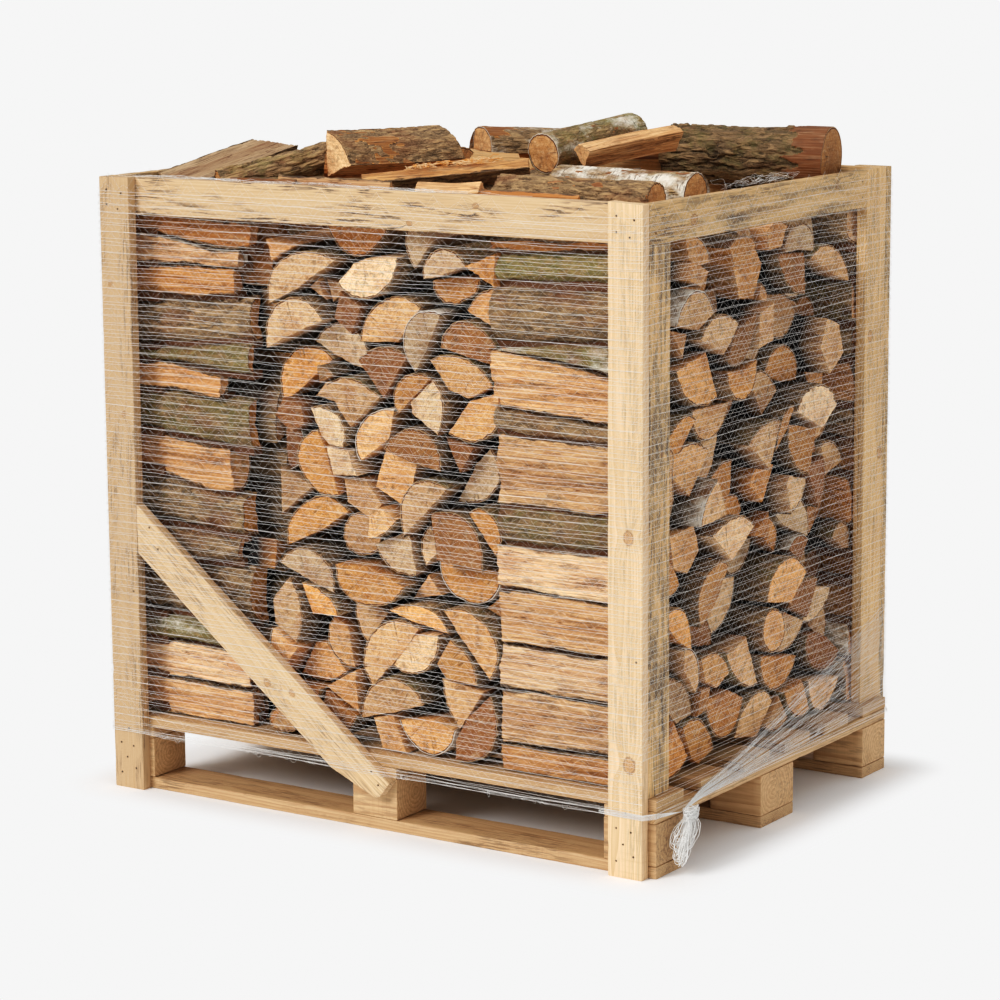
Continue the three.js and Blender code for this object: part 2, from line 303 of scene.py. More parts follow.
class Graph:
    """A node tree, with short ways to add the nodes that the crate needs."""

    def __init__(self, tree):
        self.tree = tree

    def feed(self, socket, value):
        """Gives an input socket a wire, a number, a colour or a vector."""
        if isinstance(value, Wire):
            self.tree.links.new(value.socket, socket)
        elif socket.type == "RGBA":
            socket.default_value = (*value[:3], 1)
        else:
            socket.default_value = value

    def add(self, kind, inputs=None, output=0, **settings):
        """Adds a node. Returns the wire of one output, or with output None a dictionary of all."""
        made = self.tree.nodes.new(kind)
        for name, value in settings.items():
            setattr(made, name, value)
        for key, value in (inputs or {}).items():
            self.feed(made.inputs[key], value)
        if output is None:
            return {socket.name: Wire(self, socket) for socket in made.outputs}
        return Wire(self, made.outputs[output])

    def close(self, **outputs):
        """Feeds a node group's outputs and returns its tree."""
        result = self.tree.nodes.new("NodeGroupOutput")
        for name, value in outputs.items():
            self.feed(result.inputs[name], value)
        return self.tree

    def maths(self, operation, a, b=0.5):
        return self.add("ShaderNodeMath", {0: a, 1: b}, operation=operation)

    def vector(self, operation, a, b=(0, 0, 0)):
        output = "Value" if operation == "LENGTH" else "Vector"
        return self.add("ShaderNodeVectorMath", {0: a, 1: b}, output, operation=operation)

    def stretch(self, place, scale):
        return self.vector("MULTIPLY", place, scale)

    def scaled(self, vector, size):
        """A vector or a colour times a number that may vary."""
        return self.add("ShaderNodeVectorMath", {0: vector, "Scale": size}, "Vector", operation="SCALE")

    def axes(self, vector):
        """The X, Y and Z of a vector, by name."""
        return self.add("ShaderNodeSeparateXYZ", {"Vector": vector}, None)

    def join(self, **axes):
        return self.add("ShaderNodeCombineXYZ", axes)

    def blend(self, share, a, b):
        return self.add("ShaderNodeMix", {"Factor": share, 6: a, 7: b}, 2, data_type="RGBA")

    def span(self, value, low, high, to_low=0.0, to_high=1.0):
        """A value that goes from low to high, mapped and kept to another range."""
        inputs = {"Value": value, "From Min": low, "From Max": high, "To Min": to_low, "To Max": to_high}
        return self.add("ShaderNodeMapRange", inputs, "Result", clamp=True)

    def layers(self, shade, *coats):
        """Lays coats over a shade. A coat: mask, its values at none and at most, the most, colour."""
        for mask, none, full, most, colour in coats:
            shade = self.blend(self.span(mask, none, full, 0, most), shade, colour)
        return shade

    def cloud(self, place, scale, detail=3.0, roughness=0.55, output="Fac"):
        """Smooth noise. A scale of three numbers stretches it along the axes."""
        if isinstance(scale, tuple):
            place, scale = self.stretch(place, scale), 1.0
        inputs = {"Vector": place, "Scale": scale, "Detail": detail, "Roughness": roughness}
        return self.add("ShaderNodeTexNoise", inputs, output)

    def nearness(self, value, middle, width, core):
        """1 where a value is within core of the middle, and 0 past the width."""
        return self.span(self.maths("ABSOLUTE", value - middle), width, core)

    def read(self, name):
        return self.add("ShaderNodeAttribute", None, "Vector", attribute_name=name)

    def here(self):
        """The place on the piece, in metres."""
        return self.add("ShaderNodeTexCoord", None, "Object")

    def use(self, group, **inputs):
        """Adds a shader node group and returns its outputs by name."""
        return self.add("ShaderNodeGroup", inputs, None, node_tree=group)

    def paint(self, shader, shade, height=None, depth=0.0):
        """Feeds a shader its colour, and its relief where a height is given."""
        self.feed(shader["Base Color"], shade)
        if height is not None:
            inputs = {"Height": height, "Distance": depth, "Strength": 1.0}
            self.feed(shader["Normal"], self.add("ShaderNodeBump", inputs, "Normal"))


def new_group(name, kind, inputs, outputs):
    """A node group with named sockets, as (label, type, default). Returns its graph and inputs."""
    tree = bpy.data.node_groups.new(name, kind)
    for way, sockets in (("INPUT", inputs), ("OUTPUT", outputs)):
        for label, socket_type, *default in sockets:
            socket = tree.interface.new_socket(label, in_out=way, socket_type="NodeSocket" + socket_type)
            if default:
                socket.default_value = default[0]
    graph = Graph(tree)
    return graph, graph.add("NodeGroupInput", output=None)


def wood_rings_group():
    """Growth rings, long fibres and fine pores of wood, from a place measured from the pith."""
    g, given = new_group(
        "Wood rings",
        "ShaderNodeTree",
        [("Place", "Vector"), ("Ring", "Float", 3.2 * MM), ("Waviness", "Float", 1.0)],
        [("Rings", "Float"), ("Fibres", "Float"), ("Height", "Float")],
    )
    place = given["Place"]
    radius = g.vector("LENGTH", g.stretch(place, (1, 1, 0)))
    drift = g.cloud(place, (14, 14, 1.6), 2.0) * given["Waviness"] * 5.0
    turned = g.maths("DIVIDE", radius, given["Ring"]) + drift
    rings = g.maths("POWER", g.maths("FRACT", turned), 2.2)
    fibres = g.cloud(place, (420, 420, 9), 4.0, 0.62)
    pores = g.cloud(place, (1500, 1500, 60), 2.0)
    return g.close(Rings=rings, Fibres=fibres, Height=fibres * 0.7 + pores * 0.3)


def weather_group():
    """Grey soiling that lies in cloudy patches and streaks over a colour."""
    g, given = new_group(
        "Weathering",
        "ShaderNodeTree",
        [("Color", "Color"), ("Soil", "Color", (0.1, 0.08, 0.06, 1)), ("Place", "Vector")]
        + [("Amount", "Float", 0.3), ("Streaks", "Vector", (4, 4, 4))],
        [("Color", "Color")],
    )
    place, amount = given["Place"], given["Amount"]
    patches = g.cloud(g.stretch(place, given["Streaks"]), 1.0, 5.0, 0.62)
    both = patches * 0.75 + g.cloud(place, 90.0, 3.0, 0.6) * 0.25
    over = ((both - (0.78 - amount * 0.5)) * 5.0).clamped()
    mask = (over * (amount * 1.6)).clamped()
    return g.close(Color=g.blend(mask, given["Color"], given["Soil"]))


def bark_group():
    """Plates, furrows and fine grit of bark, from a place measured from the pith."""
    g, given = new_group(
        "Bark plates",
        "ShaderNodeTree",
        [("Place", "Vector")],
        [("Plates", "Float"), ("Flakes", "Float"), ("Grit", "Float"), ("Height", "Float")],
    )
    place = g.stretch(given["Place"], (100, 100, 26))
    bend = g.cloud(place, 1.3, 3.0, 0.5, "Color")
    bent = g.vector("ADD", place, g.stretch(bend, (1.6, 1.6, 1.6)))
    cells = {"Vector": bent, "Scale": 1.0}
    cracks = g.add("ShaderNodeTexVoronoi", cells, "Distance", feature="DISTANCE_TO_EDGE")
    plates = g.span(cracks, 0.02, 0.34)
    grit = g.cloud(given["Place"], (520, 520, 240), 4.0, 0.65)
    flakes = g.axes(g.add("ShaderNodeTexVoronoi", {"Vector": bent, "Scale": 1.5}, "Color"))["X"]
    return g.close(Plates=plates, Flakes=flakes, Grit=grit, Height=plates + grit * 0.5)


# ---- materials ----


def lit(colour, share):
    """A colour times a number."""
    return [value * share for value in colour]


def material(name, roughness):
    """A new material. Returns it with its graph and the inputs of its Principled shader."""
    made = bpy.data.materials.new(name)
    made.use_nodes = True
    shader = next(n for n in made.node_tree.nodes if n.type == "BSDF_PRINCIPLED")
    shader.inputs["Roughness"].default_value = roughness
    return made, Graph(made.node_tree), shader.inputs


class Finishes:
    """The crate's materials, each made once."""

    def __init__(self, colours):
        self.rings, self.weather, self.plates = wood_rings_group(), weather_group(), bark_group()
        self.colours = c = colours
        self.fresh = self.board("Fresh slat", c.slat, c.slat_grain, 0.18, tint(92, 78, 64))
        self.sawn = self.board("Sawn slat", c.sawn, c.sawn_grain, 0.42, tint(96, 84, 72))
        self.pallet = self.board("Pallet wood", c.pallet, c.pallet_grain, 0.34, tint(104, 80, 58))
        split, end = self.cut_wood("Split face", False), self.cut_wood("Log end", True)
        self.log = [split, end, self.log_bark(), self.inner_bark()]
        self.torn = self.speckled("Torn fibre", 0.8, (60.0, 3.0), (0.4, 0.6), c.straw, c.orange)
        # The net yarn glows faintly: painted light that keeps the white net bright where it lies in shade.
        self.yarn = self.speckled(
            "Net yarn", 0.42, (700.0, 2.0), (0, 1), lit(c.yarn, 0.9), c.yarn,
            {"Emission Color": (1, 1, 1, 1), "Emission Strength": 0.07},
        )
        self.steel = self.speckled(
            "Nail steel", 0.45, (900.0, 3.0), (0.45, 0.7), tint(150, 136, 120), tint(110, 80, 60),
            {"Metallic": 0.3},
        )

    def board(self, name, pale, dark, soiling, soil):
        """Sawn softwood: rings cut lengthwise, knots, saw marks and soiling."""
        made, g, shader = material(name, 0.62)
        place, tone = g.read("grain"), g.axes(g.read("tone"))
        wobble = g.stretch(g.cloud(place, (120, 120, 60), 2.0, 0.5, "Color"), (0.5, 0.0, 0.5))
        knot = g.vector("SUBTRACT", g.vector("ADD", g.read("knot"), wobble), (0.25, 0.0, 0.25))
        far = g.vector("LENGTH", knot)
        pull = g.maths("POWER", math.e, far * far * -0.3)
        place = g.vector("ADD", place, g.scaled(g.stretch(knot, (0.01, 0.0, 0.0)), pull))
        wood = g.use(self.rings, Place=place, Ring=3.6 * MM, Waviness=0.9)
        heart = g.blend(g.maths("FRACT", far * 2.6), tint(176, 122, 76), tint(206, 164, 116))
        shade = g.layers(
            g.blend(wood["Rings"] * 0.6, pale, dark),
            (wood["Fibres"], 0.38, 0.7, 0.5, dark),
            (far, 1.25, 0.6, 0.85, heart),
        )
        rim = g.nearness(far, 0.95, 0.22, 0.02) * g.span(wood["Fibres"], 0.3, 0.6, 0.2, 0.75)
        shade = g.blend(rim, shade, tint(112, 70, 40))
        shade = g.layers(shade, (tone["X"], 0, 1, 0.5, dark))
        patchy = g.cloud(place, (20, 20, 5), 2.0)
        dashes = g.span(g.cloud(place, (330, 330, 22), 3.0, 0.6), 0.5, 0.6) * g.span(patchy, 0.44, 0.56)
        shade = g.blend(dashes * g.span(tone["Z"], 0, 1, 0.12, 0.95), shade, soil)
        shade = g.scaled(shade, g.span(tone["Y"], 0, 1, 0.78, 1.1))
        amount = g.span(tone["Z"], 0, 1, 0.3, 1.7) * soiling
        worn = g.use(self.weather, Color=shade, Soil=soil, Place=place, Amount=amount, Streaks=(60, 60, 6))
        saw = g.cloud(place, (8, 8, 520), 1.0)
        lined = g.span(saw, 0.5, 0.72) * g.span(patchy, 0.4, 0.6, 0.0, 0.3)
        g.feed(shader["Roughness"], g.cloud(g.here(), (35, 35, 35), 2.0) * 0.2 + 0.55)
        g.paint(shader, g.blend(lined, worn["Color"], dark), wood["Height"] + saw * 0.5, 0.7 * MM)
        return made

    def cut_wood(self, name, is_end):
        """Split or cross-cut wood, from pale straw through orange to red-brown."""
        made, g, shader = material(name, 0.72)
        place, tone, c = g.read("grain"), g.axes(g.read("tone")), self.colours
        deep = lit(c.russet, 0.55)
        warm = g.blend(g.span(tone["X"], 0.0, 0.5), c.straw, c.orange)
        warm = g.layers(warm, (tone["X"], 0.5, 1.0, 1, c.russet))
        ring, ring_share, streaks = (4.5 * MM, 0.3, 0.3) if is_end else (5.5 * MM, 0.4, 0.7)
        wood = g.use(self.rings, Place=place, Ring=ring, Waviness=0.5)
        stain = g.cloud(place, (26, 26, 26 if is_end else 7), 4.0, 0.6)
        bleach = g.cloud(place, (40, 40, 12), 3.0, 0.6)
        heart = g.vector("LENGTH", g.stretch(place, (1, 1, 0)))
        shade = g.layers(
            g.blend(wood["Rings"] * ring_share, warm, c.russet),
            (wood["Fibres"], 0.42, 0.7, streaks, deep),
            (wood["Fibres"], 0.5, 0.28, 0.4, c.straw),
            (stain, 0.5, 0.78, 0.6, c.russet),
            (bleach, 0.55, 0.8, 0.45, c.straw),
            (heart, 0.05, 0.004, 0.4, c.russet),
        )
        height = wood["Height"]
        if is_end:
            # Radial cracks in the end, drawn near black: painted shade inside the cracks, with a shallow
            # dent.
            flat = g.axes(place)
            angle = g.maths("ARCTAN2", flat["Y"], flat["X"])
            spokes = g.join(X=angle, Y=g.cloud(place, (60, 60, 0), 2.0) * 0.3)
            crack = g.nearness(g.cloud(spokes, (5, 1, 1), 1.0), 0.5, 0.008, 0.0)
            crack = crack * g.span(g.cloud(place, (18, 18, 18), 1.0), 0.5, 0.56)
            flecks = g.cloud(place, (170, 170, 170), 4.0, 0.65)
            shade = g.layers(
                g.blend(crack * 0.85, shade, lit(c.russet, 0.2)),
                (flecks, 0.5, 0.7, 0.55, c.russet),
                (flecks, 0.46, 0.3, 0.5, c.straw),
                (g.cloud(place, (24, 330, 24), 2.0, 0.5), 0.48, 0.7, 0.35, deep),
            )
            height = height - crack * 2.0
        # The tone's Y brightness also carries the painted shade that darkens a stacked log's sides away from
        # its ends.
        shade = g.scaled(shade, tone["Y"] * 0.704 + 0.42)
        rag = g.cloud(place, (70, 70, 70 if is_end else 22), 4.0, 0.7)
        edge = tone["Z"] - rag * (0.9 if is_end else 1.25)
        if is_end:
            shade = g.layers(shade, (edge, 0.0, 0.5, 0.6, deep))
        else:
            crust = g.blend(g.span(rag, 0.35, 0.65), c.bark_deep, lit(c.bark, 0.8))
            shade = g.layers(shade, (edge, 0.0, 0.12, 0.95, crust))
            line = g.nearness(g.cloud(place, (110, 110, 5), 3.0, 0.6), 0.5, 0.02, 0.003)
            shade = g.blend(line * g.span(stain, 0.42, 0.56, 0.0, 0.8), shade, lit(c.russet, 0.25))
        soiling = {"Soil": tint(74, 54, 38), "Amount": 0.5, "Streaks": (60, 60, 60 if is_end else 14)}
        worn = g.use(self.weather, Color=shade, Place=place, **soiling)
        g.paint(shader, worn["Color"], height, (0.5 if is_end else 1.1) * MM)
        return made

    def log_bark(self):
        """Bark from furrowed grey-brown to white birch skin, with green algae."""
        made, g, shader = material("Bark", 0.85)
        place, where, c = g.read("grain"), g.here(), self.colours
        skin, tone = g.axes(g.read("skin")), g.axes(g.read("tone"))
        plates = g.use(self.plates, Place=place)
        # Bark is drawn near black down in the furrows and between the plates, and lighter on the crests:
        # partly the bark's own darker furrows, partly painted shade in them.
        crest = (1.0 - g.span(skin["Z"], 0.1, 0.7)) * (plates["Plates"] * 0.7 + 0.3)
        shade = g.layers(
            g.blend(crest, c.bark_deep, c.bark),
            (g.cloud(place, (60, 60, 8), 4.0, 0.6), 0.5, 0.75, 0.7, lit(c.bark_deep, 0.7)),
            (plates["Grit"], 0.35, 0.75, 0.6, lit(c.bark, 1.5)),
            (plates["Flakes"], 0.45, 1.0, 0.4, lit(c.bark, 1.5)),
            (plates["Flakes"], 0.4, 0.0, 0.4, c.bark_deep),
            (g.cloud(place, (22, 22, 9), 3.0), 0.52, 0.72, 0.55, c.cambium),
        )
        white = ((g.cloud(place, (20, 20, 11), 5.0, 0.7) + skin["Y"] - 0.92) * 7.0).clamped()
        paper = g.layers(
            c.birch,
            (g.cloud(place, (60, 60, 420), 2.0, 0.5), 0.58, 0.66, 0.85, lit(c.bark_deep, 0.8)),
            (g.cloud(place, (45, 45, 30), 4.0, 0.65), 0.48, 0.72, 0.7, c.bark),
        )
        shade = g.blend(white, shade, paper)
        green = ((g.cloud(where, 26.0, 6.0, 0.7) + skin["X"] - 0.96) * 4.0).clamped()
        green = green * g.span(g.cloud(where, 320.0, 3.0), 0.35, 0.65, 0.35, 1.0)
        shade = g.blend(green * 0.75, shade, c.moss)
        g.feed(shader["Roughness"], g.span(white, 0, 1, 0.9, 0.6))
        height = plates["Height"] * g.span(white, 0, 1, 1.0, 0.25)
        # Scaled by the tone's Y brightness, which also carries the painted shade on a stacked log's sides.
        g.paint(shader, g.scaled(shade, tone["Y"] * 0.65 + 0.6), height, 2.2 * MM)
        return made

    def inner_bark(self):
        """The dark red-brown rim that the bark shows on a log's end."""
        made, g, shader = material("Inner bark", 0.85)
        skin, tone, c = g.axes(g.read("skin")), g.axes(g.read("tone")), self.colours
        grit = g.cloud(g.read("grain"), (380, 380, 380), 3.0)
        outside = g.blend(g.span(skin["Y"], 0.35, 0.45), lit(c.bark, 1.2), c.birch)
        shade = g.layers(g.blend(grit, c.cambium, c.bark_deep), (tone["Z"], 0.55, 0.75, 1, outside))
        g.paint(shader, shade, grit, 0.8 * MM)
        return made

    def speckled(self, name, roughness, grain, edges, a, b, settings=()):
        """A plain material that varies from one colour to another. grain: the noise's scale and detail."""
        made, g, shader = material(name, roughness)
        g.paint(shader, g.blend(g.span(g.cloud(g.here(), *grain), *edges), a, b))
        for socket, value in dict(settings).items():
            shader[socket].default_value = value
        return made


finishes = {}


def finish_of():
    """The materials, made at the first call."""
    if not finishes:
        finishes["all"] = Finishes(bpy.context.scene.firewood_colours)
    return finishes["all"]


# ---- boards ----


def merged_points(name):
    """The corners of a CAD node, each once."""
    points = np.array([v.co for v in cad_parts[name].data.vertices], float)
    return np.unique(np.round(points, 6), axis=0)


def hull(points):
    """The convex outline of flat points, anticlockwise."""
    ordered = sorted(map(tuple, points))

    def chain(run):
        kept = []
        for p in run:
            while len(kept) > 1:
                (ax, ay), (bx, by) = kept[-2], kept[-1]
                if (bx - ax) * (p[1] - ay) - (by - ay) * (p[0] - ax) > 1e-12:
                    break
                kept.pop()
            kept.append(p)
        return kept[:-1]

    return np.array(chain(ordered) + chain(ordered[::-1]))


def reach_along(outline, across):
    """Where the line at that height across the outline enters and leaves it."""
    hits, slack = [], 1e-9
    for a, b in zip(outline, np.roll(outline, -1, 0)):
        if min(a[1], b[1]) - slack <= across <= max(a[1], b[1]) + slack:
            rise = b[1] - a[1]
            if abs(rise) < slack:
                hits += [a[0], b[0]]
            else:
                hits.append(a[0] + (b[0] - a[0]) * np.clip((across - a[1]) / rise, 0, 1))
    return min(hits), max(hits)


def board_axes(name, grain=None):
    """Long, wide and thin direction of a board. grain: which axis the fibres follow on a block."""
    points = merged_points(name)
    size = points.max(0) - points.min(0)
    thin = int(np.argmin(size)) if grain is None else 2
    flat = [i for i in range(3) if i != thin]
    if grain is not None:
        long_way = np.eye(3)[grain]
    else:
        outline = hull(points[:, flat])
        sides = np.roll(outline, -1, 0) - outline
        longest = sides[np.argmax(np.linalg.norm(sides, axis=1))]
        long_way = np.zeros(3)
        long_way[flat] = longest / np.linalg.norm(longest)
    thin_way = np.eye(3)[thin]
    return long_way, np.cross(thin_way, long_way), thin_way, points


def add_board(piece, name, seed, knots=(), tone=(0.3, 0.5, 0.4), grain=None, rough=0.35 * MM, bow=0.0):
    """One board with rounded edges, saw-rough faces and knots. knots: (share of length, across, radius)."""
    along, across, through, points = board_axes(name, grain)
    local = np.stack([points @ along, points @ across, points @ through], 1)
    low, high = local.min(0), local.max(0)
    outline = hull(local[:, :2])
    half = (high - low) / 2
    r = bpy.context.scene.firewood_sizes.edge_round
    along_step, across_step = 0.013, 0.009
    wide_steps = max(4, round((high[1] - low[1]) / across_step))
    deep_steps = max(2, round((high[2] - low[2]) / across_step))
    corner = [(r * (1 - math.cos(a)), r * (1 - math.sin(a))) for a in np.radians([0, 30, 60, 90])]
    ring = []
    for sx, sy in ((1, 1), (-1, 1), (-1, -1), (1, -1)):
        bend = corner if sx * sy > 0 else corner[::-1]
        ring += [(sx * (half[1] - dx), sy * (half[2] - dy)) for dx, dy in bend]
    ring = subdivide_loop(np.array(ring), (high[1] - low[1]) / wide_steps, (high[2] - low[2]) / deep_steps)
    stations = max(4, round((high[0] - low[0]) / along_step))
    middle = (low + high) / 2
    levels = np.clip(middle[1] + ring[:, 0], low[1], high[1])
    starts, ends = np.array([reach_along(outline, level) for level in levels]).T
    t = np.linspace(0, 1, stations)
    t = np.concatenate([[0], [0.0015 / max(high[0] - low[0], 0.05)], t[1:-1], [1 - t[1] * 0.1], [1]])
    shrink = np.where((t == 0) | (t == 1), 1 - 0.9 * MM / max(half[1], 0.01), 1.0)
    rings = np.zeros((len(t), len(ring), 3))
    rings[..., 0] = starts + (ends - starts) * t[:, None]
    rings[..., 1] = middle[1] + ring[:, 0] * shrink[:, None]
    rings[..., 2] = middle[2] + ring[:, 1] * shrink[:, None]
    outward = ring / np.linalg.norm(ring, axis=1)[:, None]
    chips = noise(rings, (34, 60, 60), seed + 3, 2)
    edge = np.exp(-((np.abs(np.abs(ring[:, 0]) - half[1]) + np.abs(np.abs(ring[:, 1]) - half[2])) / (2 * r)))
    wear = np.maximum(chips - 0.62, 0) * 9 * MM * edge
    dents = (noise(rings, (60, 180, 180), seed, 2) - 1) * rough
    inward = dents - wear
    rings[..., 1] += outward[:, 0] * inward
    rings[..., 2] += outward[:, 1] * inward
    rings[..., 2] += bow * (np.sin(np.pi * t)[:, None] - 0.5)
    world = rings @ np.stack([along, across, through])
    n = len(ring)
    same = np.zeros(n, int)
    points, quads, kinds, tris, tri_kinds = loft(world, 4 * MM, same, same, 0)
    local = np.stack([points @ along, points @ across, points @ through], 1) - middle
    rng = np.random.default_rng(seed)
    pith = [rng.uniform(-0.6, 0.6) * half[1], rng.choice([-1, 1]) * (half[2] + rng.uniform(0.004, 0.05))]
    if grain is not None:
        pith = [rng.uniform(-0.4, 0.4) * half[1], rng.uniform(-0.3, 0.3) * half[2]]
    place = np.stack([local[:, 1] - pith[0], local[:, 2] - pith[1], local[:, 0] + seed], 1)
    place[:, :2] *= 1 if grain is None else 0.45
    nearest = np.full((len(points), 3), 30.0)
    best = np.full(len(points), 11.0)
    for share, sideways, radius in knots:
        centre = np.array([(share - 0.5) * (high[0] - low[0]), sideways * half[1]])
        offset = (local[:, :2] - centre) / (radius * np.array([1.25, 1.0]))
        far = np.linalg.norm(offset, axis=1)
        closer = far < best
        best = np.where(closer, far, best)
        nearest[closer] = np.stack([offset[closer, 1], 0 * far[closer], offset[closer, 0]], 1)
    piece.add(points, quads, kinds, tris, tri_kinds, grain=place, knot=nearest, tone=np.array(tone, float))


def subdivide_loop(ring, step_wide, step_deep):
    """Adds points on the long straight sides of a rounded rectangle."""
    made = []
    for a, b in zip(ring, np.roll(ring, -1, 0)):
        run = b - a
        step = step_wide if abs(run[0]) > abs(run[1]) else step_deep
        parts = max(1, round(float(np.linalg.norm(run)) / step))
        made += [a + run * k / parts for k in range(parts)]
    return np.array(made)


def random_knots(rng, count, radius=(5 * MM, 11 * MM)):
    return [(rng.uniform(0.06, 0.94), rng.uniform(-0.75, 0.75), rng.uniform(*radius)) for _ in range(count)]


def make_board_piece(name, finish, slot, **details):
    piece = Piece("grain", "knot", "tone")
    add_board(piece, name, **details)
    return settle(piece.finish(name + "_board", [finish], 40), slot, name)


class FIREWOOD_OT_frame(bpy.types.Operator):
    """Make the posts, uprights, rails and braces of the crate"""

    bl_idname = "firewood.frame"
    bl_label = "Crate frame"

    def execute(self, context):
        f = finish_of()
        rng = seeded()
        knots = {
            "post_front_right": [(0.487, -0.2, 10 * MM), (0.827, -0.25, 12 * MM)],
            "post_front_left": [(0.62, 0.3, 5 * MM), (0.83, -0.4, 5 * MM)],
            "brace_front": [(0.35, 0.3, 6 * MM), (0.42, -0.4, 7 * MM)],
        }
        tones = {
            "post_front_right": (0.15, 0.82, 0.2),
            "post_front_left": (0.9, 0.1, 0.5),
            "rail_front": (0.6, 0.45, 1.0),
            "brace_front": (0.4, 0.6, 0.5),
            "side_rail_right": (0.3, 0.5, 0.8),
            "side_upright_front_right": (0.2, 1.0, 0.9),
        }
        fresh = {"post_front_right", "post_front_left", "rail_front", "brace_front"}
        for name in sorted(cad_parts):
            if not name.startswith(("post_", "side_", "rail_", "brace_")):
                continue
            made = random_knots(rng, int(rng.integers(1, 4)))
            tone = (rng.uniform(0.1, 0.6), rng.uniform(0.6, 0.95), rng.uniform(0.3, 0.9))
            seed, bow = int(rng.integers(1, 900)), rng.uniform(-0.6, 0.6) * MM
            finish, slot = (f.fresh, "slat_fresh") if name in fresh else (f.sawn, "slat_sawn")
            make_board_piece(name, finish, slot, seed=seed, knots=knots.get(name, made),
                             tone=tones.get(name, tone), bow=bow)
        return {"FINISHED"}


class FIREWOOD_OT_pallet(bpy.types.Operator):
    """Make the runners, blocks, stringers and deck boards of the pallet"""

    bl_idname = "firewood.pallet"
    bl_label = "Pallet"

    def execute(self, context):
        rng = seeded(1)
        for name in sorted(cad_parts):
            if not name.startswith(("runner_", "block_", "stringer_", "deck_")):
                continue
            is_block = name.startswith("block_")
            tone = (rng.uniform(0.0, 0.7), rng.uniform(0.35, 0.8), rng.uniform(0.2, 0.9))
            if is_block:
                tone = (rng.uniform(0.1, 0.7), rng.uniform(0.45, 1.0), rng.uniform(0.1, 0.5))
            if name.startswith("runner_"):
                tone = (0.4, 0.5, 0.6)
            seed = int(rng.integers(1, 900))
            knots = random_knots(rng, int(rng.integers(0, 3)))
            grain = 0 if is_block else None
            make_board_piece(name, finish_of().pallet, "pallet_wood", seed=seed, knots=knots, tone=tone,
                             grain=grain, rough=0.9 * MM)
        return {"FINISHED"}


# ---- log sections ----


def arc(radius, start, end, wobble, rng):
    """An uneven arc about the pith, with a point every few degrees."""
    angles = np.linspace(start, end, max(4, int(abs(end - start) / 0.12)))
    p1, p2 = rng.uniform(0, 2 * math.pi, 2)
    r = radius * (1 + wobble * np.sin(2 * angles + p1) + 0.5 * wobble * np.sin(3 * angles + p2))
    return np.stack([r * np.cos(angles), r * np.sin(angles)], 1)


def section(kind, radius, sweep, rng):
    """A log's cross-section about the pith, as stretches of (points, is bark)."""
    start, end = -sweep / 2, sweep / 2
    bark = arc(radius, start, end, 0.05, rng)
    if kind == "round":
        return [(np.vstack([bark, bark[:1]]), True)]
    if kind == "slab":
        depth = radius * math.cos(sweep / 2)
        bulge = [depth * rng.uniform(0.72, 0.95), rng.uniform(-0.2, 0.2) * radius]
        inner = np.array([bark[-1], bulge, bark[0]])
        return [(bark, True), (inner, False)]
    if kind == "core":
        count = int(rng.integers(3, 6))
        angles = np.sort(rng.uniform(0, 0.9, count)) + np.arange(count) * (2 * math.pi - 0.9) / count
        shape = np.stack([np.cos(angles), np.sin(angles)], 1) * radius * rng.uniform(0.85, 1.0, (count, 1))
        shape[:, 1] *= rng.uniform(0.6, 1.0)
        return [(np.vstack([shape, shape[:1]]), False)]
    apex = np.array([rng.uniform(-0.1, 0.16), rng.uniform(-0.1, 0.1)]) * radius
    if sweep > 2.2:
        apex = np.array([rng.uniform(-0.12, 0.1), rng.uniform(-0.4, 0.4)]) * radius
    inner = np.array([bark[-1], apex, bark[0]])
    if rng.random() < 0.3:
        cut = rng.uniform(0.2, 0.4)
        inner = np.array([bark[-1], apex + (bark[-1] - apex) * cut, apex + (bark[0] - apex) * cut, bark[0]])
    return [(bark, True), (inner, False)]


def outline_of(stretches, step):
    """Even points round a section. Returns points and whether the bark starts at each."""
    points, flags = [], []
    for run, is_bark in stretches:
        if not is_bark:
            for a, b in zip(run[:-1], run[1:]):
                parts = max(1, round(float(np.linalg.norm(b - a)) / step))
                points += [a + (b - a) * k / parts for k in range(parts)]
                flags += [False] * parts
            continue
        lengths = np.concatenate([[0], np.cumsum(np.linalg.norm(np.diff(run, axis=0), axis=1))])
        parts = max(3, round(lengths[-1] / step))
        at = np.linspace(0, lengths[-1], parts + 1)[:-1]
        points += list(np.stack([np.interp(at, lengths, run[:, 0]), np.interp(at, lengths, run[:, 1])], 1))
        flags += [True] * parts
    return np.array(points), np.array(flags)


def turn(points, angle):
    c, s = math.cos(angle), math.sin(angle)
    return points @ np.array([[c, s], [-s, c]])


def random_section(rng, small=False):
    """The stretches of one stacked log, of a size and cut that such a stack holds."""
    kind = str(rng.choice(["sector", "slab", "round", "core"], p=[0.72, 0.06, 0.02, 0.2]))
    sweep = math.radians(rng.choice([68, 84, 100, 130, 165, 178]) + rng.uniform(-8, 8))
    area = rng.uniform(0.0030, 0.0092) if not small else rng.uniform(0.0010, 0.0030)
    if small and kind != "core":
        kind = "sector"
    if kind == "round":
        sweep = 2 * math.pi
        area *= 0.8
    if kind == "slab":
        sweep = math.radians(rng.uniform(120, 160))
    radius = math.sqrt(2 * area / sweep)
    if kind == "slab":
        radius *= 1.12
    if kind == "core":
        radius = math.sqrt(area) * 0.76
    return section(kind, min(radius, 0.105), sweep, rng)


